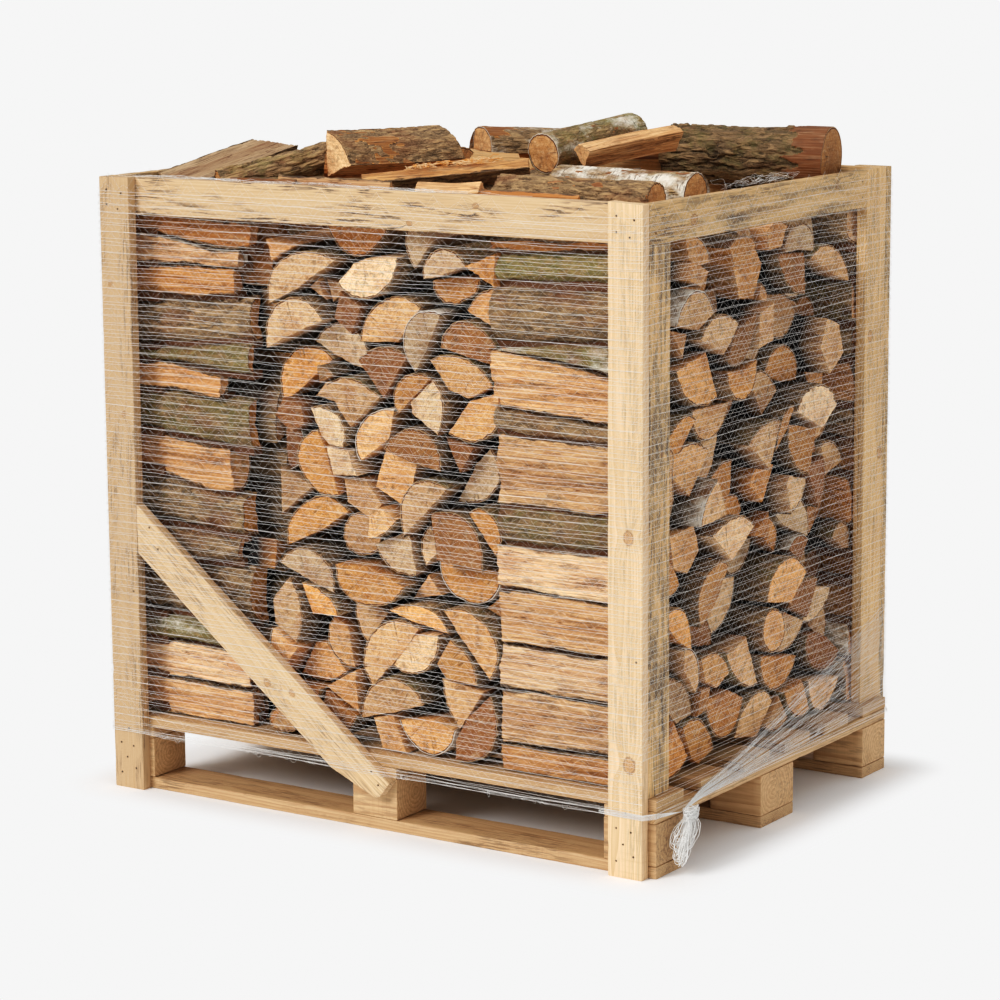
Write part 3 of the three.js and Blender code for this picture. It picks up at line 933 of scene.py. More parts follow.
def row_section(height, depth, bark_out, rng):
    """A split log whose split face, or whose bark, looks outwards (towards -u)."""
    angles = np.linspace(-math.pi / 2, math.pi / 2, 20)
    lump = 1 + 0.06 * np.sin(3 * angles + rng.uniform(0, 6.28))
    power = 0.75 if bark_out else 0.5
    c, s = np.abs(np.cos(angles)) ** power, np.sign(np.sin(angles)) * np.abs(np.sin(angles)) ** power
    bulge = np.stack([depth * c * lump, height / 2 * s], 1)
    if bark_out:
        flat = np.array([[0, height / 2], [rng.uniform(0.0, 0.3) * depth, 0], [0, -height / 2]])
        return [(-bulge, True), (-flat, False)]
    ledge = rng.uniform(-0.3, 0.3) * height
    flat = [[0, height / 2], [rng.uniform(-0.14, 0.04) * depth, ledge + 0.12 * height]]
    flat += [[rng.uniform(-0.14, 0.04) * depth, ledge - 0.12 * height], [0, -height / 2]]
    return [(bulge, True), (np.array(flat), False)]


# ---- one log ----


def add_log(piece, outline, bark, pith, basis, origin, length, look, seed, stations=6, rough=1.0, taper=0.04,
            painted_shade=0.0, slant=0.12, torn_off=0.0, bare_from=2.0, edges=None):
    """One log. basis: rows are the section's two directions and the log's length; origin: its first end.

    look: hue, brightness, algae, birch skin and furrow depth. painted shade: how much darker the log's sides
    are drawn away from its ends, standing in for the shade inside the stack;
    torn_off: share of the bark that is gone; bare_from: where, from its far end, the bark ends;
    edges: heights of the log's underside and top, evenly spaced along it.
    """
    hue, bright, moss, birch, furrow = look
    sizes = bpy.context.scene.firewood_sizes
    rng = np.random.default_rng(seed)
    nudge = 1.0 * MM / length
    t = np.concatenate([[0, nudge], np.linspace(0, 1, stations)[1:-1], [1 - nudge, 1]])
    n = len(outline)
    tangent = np.roll(outline, -1, 0) - np.roll(outline, 1, 0)
    normal = np.stack([tangent[:, 1], -tangent[:, 0]], 1)
    normal /= np.linalg.norm(normal, axis=1)[:, None]
    area = np.sum(outline[:, 0] * np.roll(outline[:, 1], -1) - np.roll(outline[:, 0], -1) * outline[:, 1])
    if area < 0:
        normal = -normal
    centre = outline.mean(0)
    thinner = 1 - rng.uniform(0, taper) * (t if rng.random() < 0.5 else 1 - t)
    rings = np.zeros((len(t), n, 3))
    rings[..., :2] = centre + (outline - centre) * thinner[:, None, None]
    rings[..., 2] = (t * length)[:, None]
    if edges is not None:
        under, top = (np.interp(t, np.linspace(0, 1, len(edge)), edge)[:, None] for edge in edges)
        rings[..., 1] = under + (outline[:, 1] - outline[:, 1].min()) / np.ptp(outline[:, 1]) * (top - under)
    at = rings + np.array([*(-pith), seed % 97])
    wide = 58 if furrow > 4 * MM else 84
    shaky = at + (noise(at, (50, 50, 50), seed + 1) - 0.5)[..., None] * 9 * MM
    ridge = furrows(shaky, (wide, wide, wide * 0.32), seed, 3, 0.12)
    ridge = ridge * (0.4 + 0.8 * noise(at, (24, 24, 10), seed + 2))
    fine = noise(at, (260, 260, 110), seed + 5, 2)
    bark_depth = -(ridge * furrow + (1 - fine) * min(furrow * 0.35, 1.1 * MM) + 0.2 * MM)
    swell = noise(at, (22, 22, 12), seed + 7, 3)
    bark_depth -= (1 - swell) * (4.0 * MM * rough + max(furrow - 3 * MM, 0))
    torn = noise(at, (70, 70, 10), seed + 9, 2)
    shreds = furrows(at, (150, 150, 11), seed + 11, 2, 0.14)
    split_depth = -((1 - torn) * 4.2 * MM + shreds * 2.0 * MM) * rough
    is_bark = bark | np.roll(bark, 1)
    gone = noise(at, (24, 24, 11), seed + 21, 3) + 0.3 * (noise(at, (160, 160, 60), seed + 23) - 0.5)
    gone = np.clip((gone - 1 + torn_off) / 0.04, 0, 1) if torn_off else 0 * at[..., 0]
    gone = np.maximum(gone, np.clip(((1 - t)[:, None] + 0.25 * (torn - 0.5) - bare_from) / 0.01, 0, 1))
    shift = np.where(is_bark, bark_depth * (1 - gone) - 3.0 * MM * gone, split_depth)
    bevel = np.where((t == 0) | (t == 1), -0.7 * MM, 0.0)[:, None]
    rings[..., :2] += normal * (shift + bevel + 0.8 * MM * rough)[..., None]
    curve = rng.uniform(-2.4, 2.4, 2) * MM * rough
    rings[..., :2] += curve * (np.sin(math.pi * t) - 0.6)[:, None, None]
    tilt = rng.uniform(-slant, slant, 4)
    spokes = outline - centre
    tooth = (noise(at[0], (120, 120, 40), seed + 13, 2) - 0.5) * 3.0 * MM
    rings[:2, :, 2] += np.maximum(spokes @ tilt[:2] + tooth, 0)
    rings[-2:, :, 2] -= np.maximum(spokes @ tilt[2:] - tooth, 0)
    world = rings @ basis + origin
    bare = (gone + np.roll(gone, -1, 1))[:-1] + (gone + np.roll(gone, -1, 1))[1:] > 2
    side = np.where(bark & ~bare, 2, 0)
    rim = np.where(bark, 3, 1)
    inset = np.where(is_bark, sizes.bark_rim * (0.6 + 0.8 * noise(at[0], (60, 60, 1), seed)), 1.2 * MM)
    points, quads, kinds, tris, tri_kinds = loft(world, inset, side, rim, 1)
    local = (points - origin) @ np.linalg.inv(basis)
    place = local - np.array([*pith, 0]) + np.array([0, 0, (seed % 97) * 0.37])
    # The skin's Z carries the furrow depth, which the bark material darkens, partly as painted shade in the
    # furrows.
    depth = np.zeros(len(points))
    depth[: ridge.size] = (ridge * np.clip(furrow / (3 * MM), 0.3, 1.0)).ravel()
    outer = np.zeros(len(points))
    outer[: ridge.size] = 1.0
    run = np.concatenate([[0], np.cumsum(np.linalg.norm(np.diff(outline, axis=0), axis=1))])
    total = run[-1] + np.linalg.norm(outline[0] - outline[-1])
    away = np.full(n, 1.0)
    if bark.any():
        away = np.abs(run[:, None] - run[is_bark][None])
        away = np.minimum(away, total - away).min(1)
    creep = np.clip(1 - away / (15 * MM), 0, 1) * (~bare[0]) if bark.any() else np.zeros(n)
    within = np.broadcast_to(creep, gone.shape) * (gone < 0.5)
    outer[n : (len(t) - 1) * n] = within[1:-1].ravel()
    light = np.full(len(points), float(bright))
    # Painted shade: the sides are drawn darker away from the log's two ends, standing in for the shade inside
    # the stack.
    light[2 * n : (len(t) - 2) * n] -= painted_shade
    light[: gone.size] -= (gone * 0.6 * (bright - 0.3)).ravel()
    hues = np.full(len(points), hue)
    hues[: gone.size] += (gone * 0.6).ravel()
    tone = np.stack([hues, light, outer], 1)
    skin = np.stack([np.full(len(points), moss), np.full(len(points), birch), depth], 1)
    piece.add(points, quads, kinds, tris, tri_kinds, grain=place, tone=tone, skin=skin)


def random_look(rng, shade=0.0):
    """Hue, brightness, algae, birch skin and furrow depth of one stacked log. shade: painted shade, how much
    darker and redder the log's end is drawn, for a stack whose ends face a shaded side.
    """
    kind = rng.random()
    hue = float(np.clip(rng.normal(0.36, 0.2) + shade * 0.35, 0.0, 1.0))
    bright = float(np.clip(rng.normal(0.81, 0.25) - shade, 0.1, 1.25))
    if rng.random() < 0.16:
        hue, bright = rng.uniform(0.7, 1.0), rng.uniform(0.2, 0.5)
    if kind < 0.13:
        return hue, bright, rng.uniform(0, 0.3), rng.uniform(0.4, 0.62), 1.2 * MM
    if kind < 0.6:
        return hue, bright, rng.uniform(0.35, 0.6), rng.uniform(0, 0.3), 2.4 * MM
    return hue, bright, rng.uniform(0.1, 0.4), 0.1, 3.2 * MM


# ---- stacking ----


def log_piece():
    return Piece("grain", "tone", "skin")


class Pile:
    """A stack's cross-section on a fine grid, filled from the bottom with logs that just fit.

    The bands are the rows searched at once, for whole logs and for wedged ones. SNUG is what a full touch is
    worth against a row of height, BULK what a cell is worth, and WEDGED_TOUCH what a wedged log must touch.
    """

    CELL, BAND, WEDGED_BAND = 5 * MM, 64, 80
    SNUG, BULK, WEDGED_TOUCH = 34, 0.042, 0.62

    def __init__(self, low, high, ceiling):
        """low and high: the section's corners. ceiling: the stack's top at a place across it."""
        self.low = np.array(low)
        self.columns = int((high[0] - low[0]) / self.CELL)
        self.rows = int((high[1] - low[1]) / self.CELL)
        self.solid = np.zeros((self.rows + 2, self.columns + 2), bool)
        self.solid[0], self.solid[:, 0], self.solid[:, -1] = True, True, True
        self.taken = self.solid.copy()
        middles = self.low[0] + (np.arange(self.columns) + 0.5) * self.CELL
        for column, top in enumerate(ceiling(middles)):
            self.taken[max(1, int((top - low[1]) / self.CELL)) + 1 :, column + 1] = True
        self.taken[-1] = True
        self.logs = []

    def mask(self, outline):
        """The cells that a section covers, and the row and column of its first one."""
        centre = outline.mean(0)
        reach = np.linalg.norm(outline - centre, axis=1).mean()
        gap = bpy.context.scene.firewood_sizes.log_gap
        grown = (centre + (outline - centre) * (1 + gap / reach)) / self.CELL
        first = np.floor(grown.min(0)).astype(int)
        size = np.ceil(grown.max(0)).astype(int) - first
        x = first[0] + np.arange(size[0]) + 0.5
        y = first[1] + np.arange(size[1]) + 0.5
        inside = np.zeros((size[1], size[0]), bool)
        for a, b in zip(grown, np.roll(grown, -1, 0)):
            crossed = (a[1] > y) != (b[1] > y)
            if crossed.any():
                at = a[0] + (y[crossed] - a[1]) * (b[0] - a[0]) / (b[1] - a[1])
                inside[crossed] ^= x[None, :] < at[:, None]
        return inside, first

    def cover(self, inside, row, column):
        """Takes up a section's cells, as far as they lie in the pile."""
        rows = slice(max(row, 0), min(row + inside.shape[0], self.taken.shape[0]))
        columns = slice(max(column, 0), min(column + inside.shape[1], self.taken.shape[1]))
        part = inside[rows.start - row : rows.stop - row, columns.start - column : columns.stop - column]
        self.taken[rows, columns] |= part
        self.solid[rows, columns] |= part

    def fix(self, outline, at):
        """Takes up the cells of a log whose place is already settled."""
        inside, first = self.mask(outline + (np.array(at) - self.low))
        self.cover(inside, first[1] + 1, first[0] + 1)

    def fields(self, start, band):
        """A band of rows as the spectra that find a section's clashes and its touches."""
        shape = (band + 40, self.columns + 42)
        rows = slice(start, start + band)
        return shape, np.fft.rfft2(self.taken[rows], shape), np.fft.rfft2(self.solid[rows], shape)

    def best_place(self, inside, start, band, fields):
        """The snuggest free place in a band of rows, as (score, row, column, share that touches)."""
        shape, taken, solid = fields
        h, w = inside.shape
        if h + 2 >= band or w + 2 > self.columns:
            return None
        clash = np.fft.irfft2(taken * np.conj(np.fft.rfft2(inside, shape)), shape)
        free = np.rint(clash)[: band - h, : self.columns + 2 - w] < 0.5
        if not free.any():
            return None
        skin = np.zeros((h + 2, w + 2), bool)
        for dy, dx in itertools.product((0, 1, 2), repeat=2):
            skin[dy : dy + h, dx : dx + w] |= inside
        skin[1:-1, 1:-1] &= ~inside
        touch = np.rint(np.fft.irfft2(solid * np.conj(np.fft.rfft2(skin, shape)), shape))
        touch = np.roll(touch, (1, 1), (0, 1))[: band - h, : self.columns + 2 - w] / skin.sum()
        heights = np.arange(band - h)[:, None] + h / 2
        score = np.where(free, self.SNUG * touch - heights, -1e6)
        score[0, :] = -1e6 if start == 0 else score[0, :]
        score[:, 0] = -1e6
        row, column = np.unravel_index(int(np.argmax(score)), score.shape)
        return float(score[row, column]), row + start, column, float(touch[row, column])

    def candidate(self, rng, start, band, fields, small=False):
        """A random log: its best place in a band of rows, its stretches, its cells and the first of them."""
        stretches = random_section(rng, small)
        angle = rng.uniform(0, 2 * math.pi)
        turned = [(turn(run, angle), is_bark) for run, is_bark in stretches]
        inside, first = self.mask(outline_of(turned, 6 * MM)[0])
        return self.best_place(inside, start, band, fields), turned, inside, first

    def keep(self, found):
        (_, row, column, _), turned, inside, first = found
        self.cover(inside, row, column)
        self.logs.append((turned, self.low + (np.array([column, row]) - 1 - first) * self.CELL))

    def fill(self, rng, tries=14, most=400, reach=16):
        """Stacks logs from the bottom to the ceiling, then wedges small ones into what is left."""
        start = 0
        while start < self.rows and len(self.logs) < most:
            band = min(self.BAND, self.rows + 2 - start)
            fields = self.fields(start, band)
            found, best = None, 0.0
            for _ in range(tries):
                made = self.candidate(rng, start, band, fields)
                if made[0] is None:
                    continue
                score = made[0][0] + self.BULK * made[2].sum()
                if found is None or score > best:
                    found, best = made, score
            if found is None:
                start += 10
            elif found[0][1] - start > reach:
                start += reach // 2
            else:
                self.keep(found)
        for low in range(0, self.rows, self.WEDGED_BAND // 2):
            band = min(self.WEDGED_BAND, self.rows + 2 - low)
            for _ in range(46):
                found = self.candidate(rng, low, band, self.fields(low, band), small=True)
                if found[0] and found[0][3] > self.WEDGED_TOUCH:
                    self.keep(found)


# Rows seen along the front of the two side stacks, from the bottom: underside at the outer and the inner end
# and top at the outer and the inner end, above the stack's foot in mm; how far short of the stack's inner end
# the row stops in mm; whether the bark looks out; then hue, brightness, algae and birch skin.
LEFT_ROWS = (
    (2, 2, 75, 71, 45, False, 0.25, 1.0, 0.2, 0.2),
    (79, 76, 147, 141, 50, False, 0.05, 1.3, 0.2, 0.3),
    (150, 145, 195, 190, 50, True, 0.4, 0.66, 0.66, 0.42),
    (198, 193, 305, 314, 45, True, 0.5, 0.58, 0.25, 0.05),
    (309, 318, 372, 364, 70, True, 0.6, 0.66, 0.15, 0.05),
    (376, 368, 480, 445, 60, True, 0.5, 0.66, 0.42, 0.1),
    (484, 449, 556, 533, 88, False, 0.35, 0.94, 0.3, 0.1),
    (560, 537, 640, 632, 42, True, 0.5, 0.58, 0.56, 0.12),
    (644, 636, 694, 680, 104, False, 0.35, 1.04, 0.2, 0.1),
    (698, 684, 717, 738, 38, True, 0.4, 0.66, 0.62, 0.3),
    (721, 742, 814, 826, 36, True, 0.4, 0.88, 0.2, 0.1),
    (819, 830, 878, 881, 72, False, 0.45, 0.86, 0.1, 0.1),
    (882, 885, 937, 912, 54, False, 0.12, 0.99, 0.2, 0.55),
    (942, 917, 972, 968, 30, False, 0.7, 0.74, 0.1, 0.3),
)
RIGHT_ROWS = (
    (2, 2, 51, 48, 2, False, 0.35, 0.72, 0.3, 0.1),
    (55, 52, 146, 150, 0, False, 0.2, 0.68, 0.3, 0.1),
    (152, 155, 232, 231, -4, False, 0.05, 0.98, 0.3, 0.1),
    (236, 236, 330, 333, -8, False, 0.25, 0.78, 0.3, 0.1),
    (334, 337, 423, 414, -12, False, 0.0, 1.25, 0.3, 0.1),
    (427, 418, 488, 484, -10, True, 0.4, 0.55, 0.52, 0.1),
    (491, 488, 614, 616, -14, False, 0.25, 0.67, 0.3, 0.1),
    (618, 620, 649, 666, -18, True, 0.4, 0.65, 0.3, 0.2),
    (653, 669, 731, 769, -20, False, 0.3, 1.0, 0.2, 0.1),
    (735, 772, 790, 778, 0, True, 0.4, 0.7, 0.58, 0.42),
    (794, 782, 892, 890, -20, True, 0.4, 0.7, 0.3, 0.1),
    (896, 894, 956, 944, -18, True, 0.4, 0.95, 0.68, 0.1),
    (960, 948, 975, 965, -18, False, 0.5, 0.8, 0.3, 0.1),
)


def stack_ceiling(name, across):
    """A function that gives the stack's top, from the CAD node's upper corners."""
    points = merged_points(name)
    middle = (points[:, 2].min() + points[:, 2].max()) / 2
    upper = points[points[:, 2] > middle]
    order = np.argsort(upper[:, across])
    return lambda x: np.interp(x, upper[order, across], upper[order, 2]) - 4 * MM


def log_basis(across):
    """The section's two directions and the log's length. across: 1 for logs along X, 0 for logs along Y."""
    over = np.eye(3)[across]
    return np.stack([over, UP, np.cross(over, UP)])


def add_edge_row(piece, pile, name, number, row, sign, rng, seed):
    """One row along a side stack's front (sign 1) or rear (sign -1), with the dark sticks behind its seam:
    painted shade that fills the gap under the row.
    """
    *edges, short, bark_out, hue, bright, moss, birch = row
    low, high = corners(name)
    is_left, basis = name.endswith("left"), log_basis(1)
    spots = np.linspace(0, 1, 60)
    ease = spots * spots * (3 - 2 * spots)
    wave = np.stack([spots * 5, 0 * spots, 0 * spots], 1) + [sign, 0, high[0]]
    waves = [(noise(wave + [0, number + k, 0], (1, 1, 1), seed, 3) - 0.5) * 12 * MM for k in (0, 1)]
    under, top = ((edges[k] + (edges[k + 1] - edges[k]) * ease) * MM for k in (0, 2))
    if not is_left:
        under, top = under[::-1], top[::-1]
    under, top = under + waves[0] * (number > 0) - 3 * MM, top + waves[1] + 3 * MM
    height = max(np.mean(top - under), 12 * MM)
    thick = height * (rng.uniform(0.45, 0.7) if bark_out else rng.uniform(0.62, 0.85))
    stretches = row_section(height, thick, bark_out, rng)
    stretches = [(run * np.array([sign, 1]), is_bark) for run, is_bark in stretches]
    if sign < 0:
        stretches = [(run[::-1], is_bark) for run, is_bark in stretches[::-1]]
    parts = [outline_of([s], (3.2 if s[1] == bark_out else 9.0) * MM) for s in stretches]
    outline, bark = (np.concatenate(part) for part in zip(*parts))
    wall, face = (low[1], outline[:, 0].min()) if sign > 0 else (high[1], outline[:, 0].max())
    side = wall - face + sign * rng.uniform(0.0, 9.0) * MM
    middle = np.mean(under + top) / 2
    pile.fix(outline, [side, low[2] + middle])
    furrow = 1.4 * MM if birch > 0.3 else rng.uniform(2.0, 3.4) * MM
    first = low[0] if is_left else low[0] + short * MM
    last = high[0] - short * MM if is_left else high[0]
    pith, look = np.array([thick * 0.2 * sign, middle]), (hue, bright, moss, birch, furrow)
    add_log(piece, outline, bark, pith, basis, np.array([first, side, low[2]]), last - first, look,
            int(rng.integers(1, 90000)), stations=60 if sign > 0 else 30, rough=2.0, taper=0.2, slant=0.45,
            torn_off=0.12, edges=(under, np.maximum(top, under + 4 * MM)))
    # Painted shade: dark sticks set back in the seam under the row and at the row's outer end, drawn in the
    # darkest wood so that the gap between rows reads as shade.
    depth, stub, half, seam = 26 * MM, 70 * MM, 9 * MM, np.maximum(under, 14 * MM)
    square = np.array([[0, -1], [1, -1], [1, 1], [0, 1], [0, -1]]) * [depth, 8 * MM]
    stick, bark = outline_of([(square, False)], 10 * MM)
    outer, outer_end = (0, low[0]) if is_left else (-1, high[0] - stub)
    shade_sticks = ((27, first, last - first, seam), (11, outer_end, stub, np.full(2, seam[outer])))
    for behind, begin, length, heights in shade_sticks:
        side = wall + sign * behind * MM - (depth if sign < 0 else 0)
        add_log(piece, stick, bark, np.zeros(2), basis, np.array([begin, side, low[2]]), length,
                (1.0, 0.0, 0, 0, 0), 7, stations=14, rough=0.1, edges=(heights - half, heights + half))


def stack_logs(name, across, rows_front=(), seed=1):
    """Fills one stack with logs and returns its edge rows and the rest as two pieces."""
    rng = np.random.default_rng(seed)
    low, high = corners(name)
    ceiling, along, basis = stack_ceiling(name, across), 1 - across, log_basis(across)
    pile = Pile((low[across], low[2]), (high[across], high[2]), ceiling)
    edge, rest = log_piece(), log_piece()
    if rows_front:
        for sign, rows in ((1, rows_front), (-1, rear_rows(rng, ceiling(high[1]) - low[2]))):
            for number, row in enumerate(rows):
                add_edge_row(edge, pile, name, number, row, sign, rng, seed)
    pile.fill(rng)
    for stretches, offset in pile.logs:
        outline, bark = outline_of(stretches, 5.5 * MM)
        top = outline[:, 1].max() + offset[1]
        on_top = float(ceiling(outline[:, 0].mean() + offset[0])) - top < 45 * MM
        if on_top:
            outline, bark = outline_of(stretches, 4 * MM)
        visible_end = rng.uniform(0, 1) ** 1.6 * (78 if across else 62) * MM
        visible_end *= np.clip((outline[:, 1].min() + offset[1] - low[2]) / 0.12, 0.12, 1)
        first, last = low[along] + rng.uniform(0, 8) * MM, high[along] - rng.uniform(0, 8) * MM
        if name.endswith(("left", "front")):
            first = low[along] + visible_end
        else:
            last = high[along] - visible_end
        origin = np.zeros(3)
        origin[across], origin[2], origin[along] = *offset, first if basis[2, along] > 0 else last
        # The side stacks' logs get painted shade: darker, redder ends, standing in for the shade on the
        # crate's right side.
        look, seed = random_look(rng, 0.06 * across), int(rng.integers(1, 90000))
        # Stacked logs under the top get painted shade along their sides, more in the side stacks.
        stations, rough, painted_shade = (22, 0.9, 0.0) if on_top else (7, 0.6, 1.0 + 0.4 * across)
        add_log(rest, outline, bark, np.zeros(2), basis, origin, last - first, look, seed, stations=stations,
                rough=rough, taper=0.07, painted_shade=painted_shade)
    return edge, rest


def rear_rows(rng, height):
    """Rows of logs for the back of a side stack, from the bottom to its top."""
    rows, under = [], 2.0
    while under < height / MM - 30:
        top = min(under + rng.uniform(45, 95), height / MM - 4)
        rows.append((under, under, top, top, rng.uniform(0, 60), rng.random() < 0.5, *random_look(rng)[:4]))
        under = top + 3
    return rows


class FIREWOOD_OT_side_stacks(bpy.types.Operator):
    """Stack the logs that lie along the crate's front, at its left and right"""

    bl_idname = "firewood.side_stacks"
    bl_label = "Side stacks"

    def execute(self, context):
        seed = context.scene.firewood_sizes.seed
        for name, rows, step in (("logs_left", LEFT_ROWS, 2), ("logs_right", RIGHT_ROWS, 3)):
            edge, stack = stack_logs(name, 1, rows, seed + step)
            for piece, ending in ((edge, "_edge_rows"), (stack, "_stack")):
                settle(piece.finish(name + ending, finish_of().log), "bark_grey", name)
        return {"FINISHED"}


class FIREWOOD_OT_middle_stacks(bpy.types.Operator):
    """Stack the logs whose ends show in the middle of the front and the back"""

    bl_idname = "firewood.middle_stacks"
    bl_label = "Middle stacks"

    def execute(self, context):
        seed = context.scene.firewood_sizes.seed
        for name, step in (("logs_middle_front", 4), ("logs_middle_rear", 5)):
            _, stack = stack_logs(name, 0, (), seed + step)
            settle(stack.finish(name + "_stack", finish_of().log), "split_wood", name)
        return {"FINISHED"}


# ---- loose logs on top ----

# Hue, brightness, algae, birch skin and furrow depth of each loose log, the share of its bark that is gone
# and the sides that are split: 0 the flat ones, 1 the round ones, 2 all.
TOP_LOOKS = {
    "log_split_slab": (0.05, 0.33, 0.2, 0.1, 2.5 * MM, 0.1, 0),
    "log_grey_left": (0.5, 1.0, 0.5, 0.1, 5.5 * MM, 0.2, 0),
    "log_mossy_low": (0.5, 0.9, 0.6, 0.1, 3.0 * MM, 0.3, 0),
    "log_wedge": (0.2, 1.15, 0.1, 0.1, 2.0 * MM, 0.4, 0),
    "log_long_splinter": (0.4, 0.7, 0.4, 0.1, 4.0 * MM, 0.1, 1),
    "log_offcut": (0.25, 1.1, 0.2, 0.1, 2.0 * MM, 0.1, 2),
    "log_half_birch": (0.3, 0.75, 0.3, 0.46, 1.6 * MM, 0.38, 0),
    "log_birch_round": (0.36, 0.75, 0.58, 0.42, 1.6 * MM, 0.34, 0),
    "log_orange_split": (0.25, 0.95, 0.2, 0.1, 2.6 * MM, 0.1, 2),
    "log_small_split": (0.35, 1.0, 0.3, 0.1, 2.0 * MM, 0.1, 2),
    "log_oak": (0.55, 0.24, 0.5, 0.05, 8.0 * MM, 0.2, 0),
    "log_white_birch": (0.36, 0.8, 0.42, 0.48, 1.4 * MM, 0.34, 0),
    "log_front": (0.35, 0.95, 0.3, 0.3, 5.4 * MM, 0.4, 0),
    "log_rear_left": (0.5, 0.6, 0.5, 0.1, 3.0 * MM, 0.2, 0),
    "log_rear_corner": (0.3, 0.8, 0.2, 0.1, 2.0 * MM, 0.2, 0),
    "log_rear_centre": (0.5, 0.6, 0.3, 0.1, 3.0 * MM, 0.3, 0),
    "log_rear_right": (0.4, 0.7, 0.3, 0.4, 1.4 * MM, 0.2, 0),
}


def log_frame(name):
    """Outline, pith, directions and length of a loose log, from its CAD node's own mesh."""
    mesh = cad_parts[name].data
    normals = np.array([p.normal for p in mesh.polygons], float)
    areas = np.array([p.area for p in mesh.polygons], float)
    lined = np.abs(normals @ normals.T)
    square = (lined > 0.999) | (lined < 0.02)
    ends = np.argmax(square @ areas)
    axis = normals[ends] / np.linalg.norm(normals[ends])
    points = merged_points(name)
    side = np.cross(axis, UP)
    side /= np.linalg.norm(side)
    over = np.cross(axis, side)
    local = np.stack([points @ side, points @ over, points @ axis], 1)
    near = local[local[:, 2] < local[:, 2].mean()]
    centre = near[:, :2].mean(0)
    angles = np.arctan2(near[:, 1] - centre[1], near[:, 0] - centre[0])
    ring = near[np.argsort(angles), :2]
    edges = np.linalg.norm(np.roll(ring, -1, 0) - ring, axis=1)
    bark = edges < 1.6 * np.median(edges)
    on_bark = ring[bark | np.roll(bark, 1)]
    system = np.column_stack([2 * on_bark, np.ones(len(on_bark))])
    pith = np.linalg.lstsq(system, (on_bark**2).sum(1), rcond=None)[0][:2]
    return ring, bark, pith, np.stack([side, over, axis]), local[:, 2].min(), np.ptp(local[:, 2])


def smooth_stretches(ring, bark, pith, rng):
    """The outline as stretches, with the bark's chords drawn as one uneven arc about the pith."""
    radius = float(np.linalg.norm(ring[bark] - pith, axis=1).max())
    if bark.all():
        angle = math.atan2(*(ring[0] - pith)[::-1])
        run = arc(radius * 0.985, angle, angle + 2 * math.pi, 0.012, rng)
        return [(run + pith, True)]
    first = next(i for i in range(len(ring)) if bark[i] and not bark[i - 1])
    ring, bark = np.roll(ring, -first, 0), np.roll(bark, -first)
    count = int(np.argmin(bark))
    start, end = ring[0] - pith, ring[count] - pith
    a = math.atan2(start[1], start[0])
    b = math.atan2(end[1], end[0])
    b += 2 * math.pi if b < a else 0
    run = arc(radius * 0.985, a, b, 0.012, rng) + pith
    run[0], run[-1] = ring[0], ring[count]
    return [(run, True), (np.vstack([ring[count:], ring[:1]]), False)]


class FIREWOOD_OT_top_logs(bpy.types.Operator):
    """Make the loose logs heaped on the stacks"""

    bl_idname = "firewood.top_logs"
    bl_label = "Loose top logs"

    def execute(self, context):
        for number, (name, look) in enumerate(TOP_LOOKS.items()):
            rng = np.random.default_rng(context.scene.firewood_sizes.seed * 31 + number)
            ring, bark, pith, basis, start, length = log_frame(name)
            outline, flags = outline_of(smooth_stretches(ring, bark, pith, rng), 2.4 * MM)
            *look, torn_off, swap = look
            flags = (flags, ~flags, flags & False)[swap]
            piece = log_piece()
            add_log(piece, outline, flags, pith, basis, basis[2] * start, length, look, 400 + number,
                    stations=max(30, round(length / (3.0 * MM))), slant=0.2, torn_off=torn_off,
                    bare_from=0.8 if name == "log_oak" else 2.0)
            made = piece.finish(name + "_wood", finish_of().log, 55)
            slot = "bark_birch" if look[3] > 0.45 else "bark_mossy" if look[2] > 0.5 else "bark_grey"
            settle(made, slot if name != "log_split_slab" else "split_wood", name)
        return {"FINISHED"}


